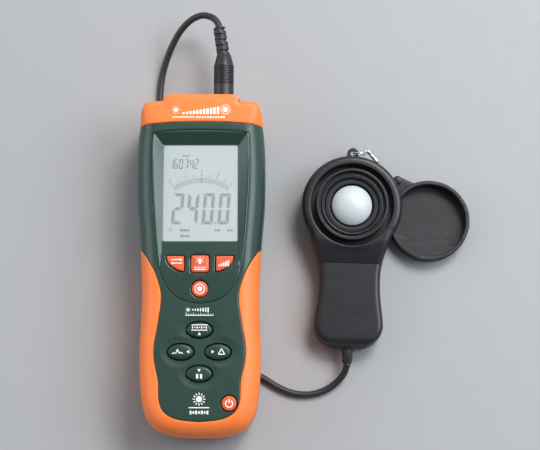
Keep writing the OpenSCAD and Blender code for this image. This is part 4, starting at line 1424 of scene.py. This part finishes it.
def add_diffuser():
    """The cap's seat ring, the retainer inside it, the white dome, and the grommet at the handle's end."""
    ring = soften([(21.4, 13), (21.4, 22), (19.9, 22), (19.5, 19.2), (18.3, 19.2), (18.1, 20.8), (17.3, 20.8),
                   (16, 17.6), (16, 13)], 0.4, 5)
    add_piece("cap_seat_ring", on_sensor(lathe(ring, count=128)), "sensor", "sensor_black")
    washer = soften([(13.1, 15.4), (15.8, 15.4), (15.8, 17.0), (13.1, 17.0)], 0.25)
    add_piece("diffuser_retainer", on_sensor(lathe(washer, count=96)), "sensor", "sensor_black")
    ball = (DOME_R ** 2 + DOME_RISE ** 2) / (2 * DOME_RISE)
    reach = math.asin(11.95 / ball)

    def shell_line(r, angles):
        return [(r * math.sin(a), DOME_TOP - ball + r * math.cos(a)) for a in angles]

    dome = shell_line(ball, np.linspace(0, reach, 22)) + [(11.98, 15.5), (10.9, 15.5)]
    dome += shell_line(ball - 1.6, np.linspace(reach * 0.97, 0, 16))
    add_piece("diffuser_dome", on_sensor(lathe(dome, count=96)), "sensor", "dome_white",
              angle=math.radians(60))
    cone = [(0, 0), (2.1, 0), (2.1, 1.6), (2.6, 1.6), (3.0, 2.1), (3.28, 9.6), (2.95, 9.95), (2.95, 12.2),
            (0, 12.2)]
    grommet = turned(lathe(cone, count=48), (-0.05, -94.95, 8.15), (0, -83, 8.5))
    add_piece("cord_grommet", on_sensor(grommet), "sensor", "black_rubber")


# ---- cap and its tether

CAP_AT = (135.6, 28.7)
CAP_R, CAP_INNER_R, CAP_TALL = 24.5, 22, 9.5
EAR_AT = (117, 53)
TETHER_ROUTE = [(104.6, 64.6, 8.6), (105.9, 60.4, 8.2), (108.6, 57, 8.6), (112.6, 54.3, 9.3), (117, 53, 10)]


def add_cap():
    """The rubber cap, which lies open side up with a slightly wavy wall, and its ear."""
    corners = [(CAP_R, 0), (CAP_R, CAP_TALL), (CAP_INNER_R, CAP_TALL), (CAP_INNER_R, 2)]
    wall = soften(corners, 0.7, 5, closed=False)
    profile = [(0, 0), (23.6, 0), (24.3, 0.35)] + [tuple(q) for q in wall[1:]]
    profile += [(21.4, 2.0), (14, 1.95), (7, 1.9), (0, 1.9)]
    points, faces = lathe(profile, count=144)
    angle = np.arctan2(points[:, 1], points[:, 0])
    far = np.hypot(points[:, 0], points[:, 1])
    crumple = 0.12 * np.exp(-((angle - 0.7) / 0.5) ** 2) * np.sin(24 * angle)
    waves = 0.10 * np.sin(5 * angle + 0.6) + 0.07 * np.sin(9 * angle + 2.2) + crumple
    squeeze = 1 - np.clip((far - 15) / 9, 0, 1) * (0.01 + np.abs(waves) * 0.035)
    points[:, :2] *= squeeze[:, None]
    points[:, 2] -= np.clip((far - 20) / 3, 0, 1) * (points[:, 2] > 5) * (0.15 + waves)
    cup = moved((points, faces), (*CAP_AT, 0))
    ear = np.vstack([arc(EAR_AT, 3, 40, 240, 24), arc(CAP_AT, 23.2, 142, 108, 14)])
    tab = slab(ear, lambda p: 8.5 - round_over(depth_in(p, ear), 0.8, 0.6), 5.5,
               [circle(EAR_AT, 1.6, 32)], edge_rings(ear, (0.15, 0.4, 0.8)))
    add_piece("sensor_cap", join(cup, tab), "cap", "cap_rubber")


def add_tether():
    """The tether from the sensor's lug to the cap's ear: a ring, a clasp, its wire, the loop and its knot."""
    ring = [(94 + 3.6 * math.cos(a), 69.0 + 0.25 * math.sin(3 * a), 10.5 + 3.6 * math.sin(a))
            for a in np.linspace(0, 2 * math.pi * 1.02, 60)]
    add_piece("tether_ring", sweep(ring, 0.43, 12), "sensor", "steel")
    a, b = Vector((98.6, 71, 11.5)), Vector(TETHER_ROUTE[0])
    size = (b - a).length
    sleeve = [(0, 0), (1.0, 0), (1.25, 0.3), (1.25, size * 0.3), (1.0, size * 0.36), (1.25, size * 0.42),
              (1.25, size * 0.64), (1.0, size * 0.7), (1.25, size * 0.76), (1.25, size - 0.3), (1.0, size),
              (0, size)]
    add_piece("tether_clasp", turned(lathe(sleeve, count=32), a, b), "sensor", "steel")
    wire = [(97.3, 69.3, 11.6), (97.9, 70.2, 12.0), (98.6, 71, 11.6)]
    add_piece("clasp_wire", sweep(smooth_line(wire, 6), 0.4, 10), "sensor", "steel")
    add_piece("tether_loop", sweep(smooth_line(TETHER_ROUTE, 10), 0.78, 14), "sensor", "black_rubber")
    knot = [(0, 3), (1.3, 3), (1.5, 3.4), (1.5, 8.9), (2.2, 9.2), (2.3, 9.8), (2.1, 10.6), (1.4, 11), (0, 11)]
    add_piece("tether_knot", lathe(knot, EAR_AT, 40), "sensor", "black_rubber")


# ---- pieces that stay as the CAD made them

CAD_LOOKS = {
    "lcd_frame": "frame_white", "backlight_panel": "legend_white", "lcd_contact_strip": "mat_grey",
    "main_board": "board_green", "keypad_mat": "mat_grey", "data_port": "steel", "battery": "battery_wrap",
    "battery_snap": "black_plastic", "stand_pin": "steel", "tripod_insert": "brass", "plug_nose": "steel",
    "filter_glass": "filter_green", "photodiode": "steel", "sensor_board": "board_green",
}
FLOOR_HALF = 3.0                # half of the table's side, in metres


def dress_cad_nodes():
    """Every CAD node that still shows gets its material."""
    for name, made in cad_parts.items():
        if not made.hide_render:
            paint(made, CAD_LOOKS[name])


def add_floor():
    half = FLOOR_HALF / MM
    corners = np.array([(-half, -half, 0), (half, -half, 0), (half, half, 0), (-half, half, 0)])
    floor = make_object("floor", (corners, [(0, 1, 2, 3)]))
    paint(floor, "table")


# ---- the whole scene

materials = make_materials()
add_camera()
add_studio()
add_lead()
add_case()
add_panel()
add_keys()
add_prints()
add_display()
add_rear_case()
add_collar_and_ears()
add_battery_cover()
add_screws()
add_feet()
add_stand()
add_socket()
add_front_shell()
add_rear_shell()
add_diffuser()
add_cap()
add_tether()
dress_cad_nodes()
add_floor()
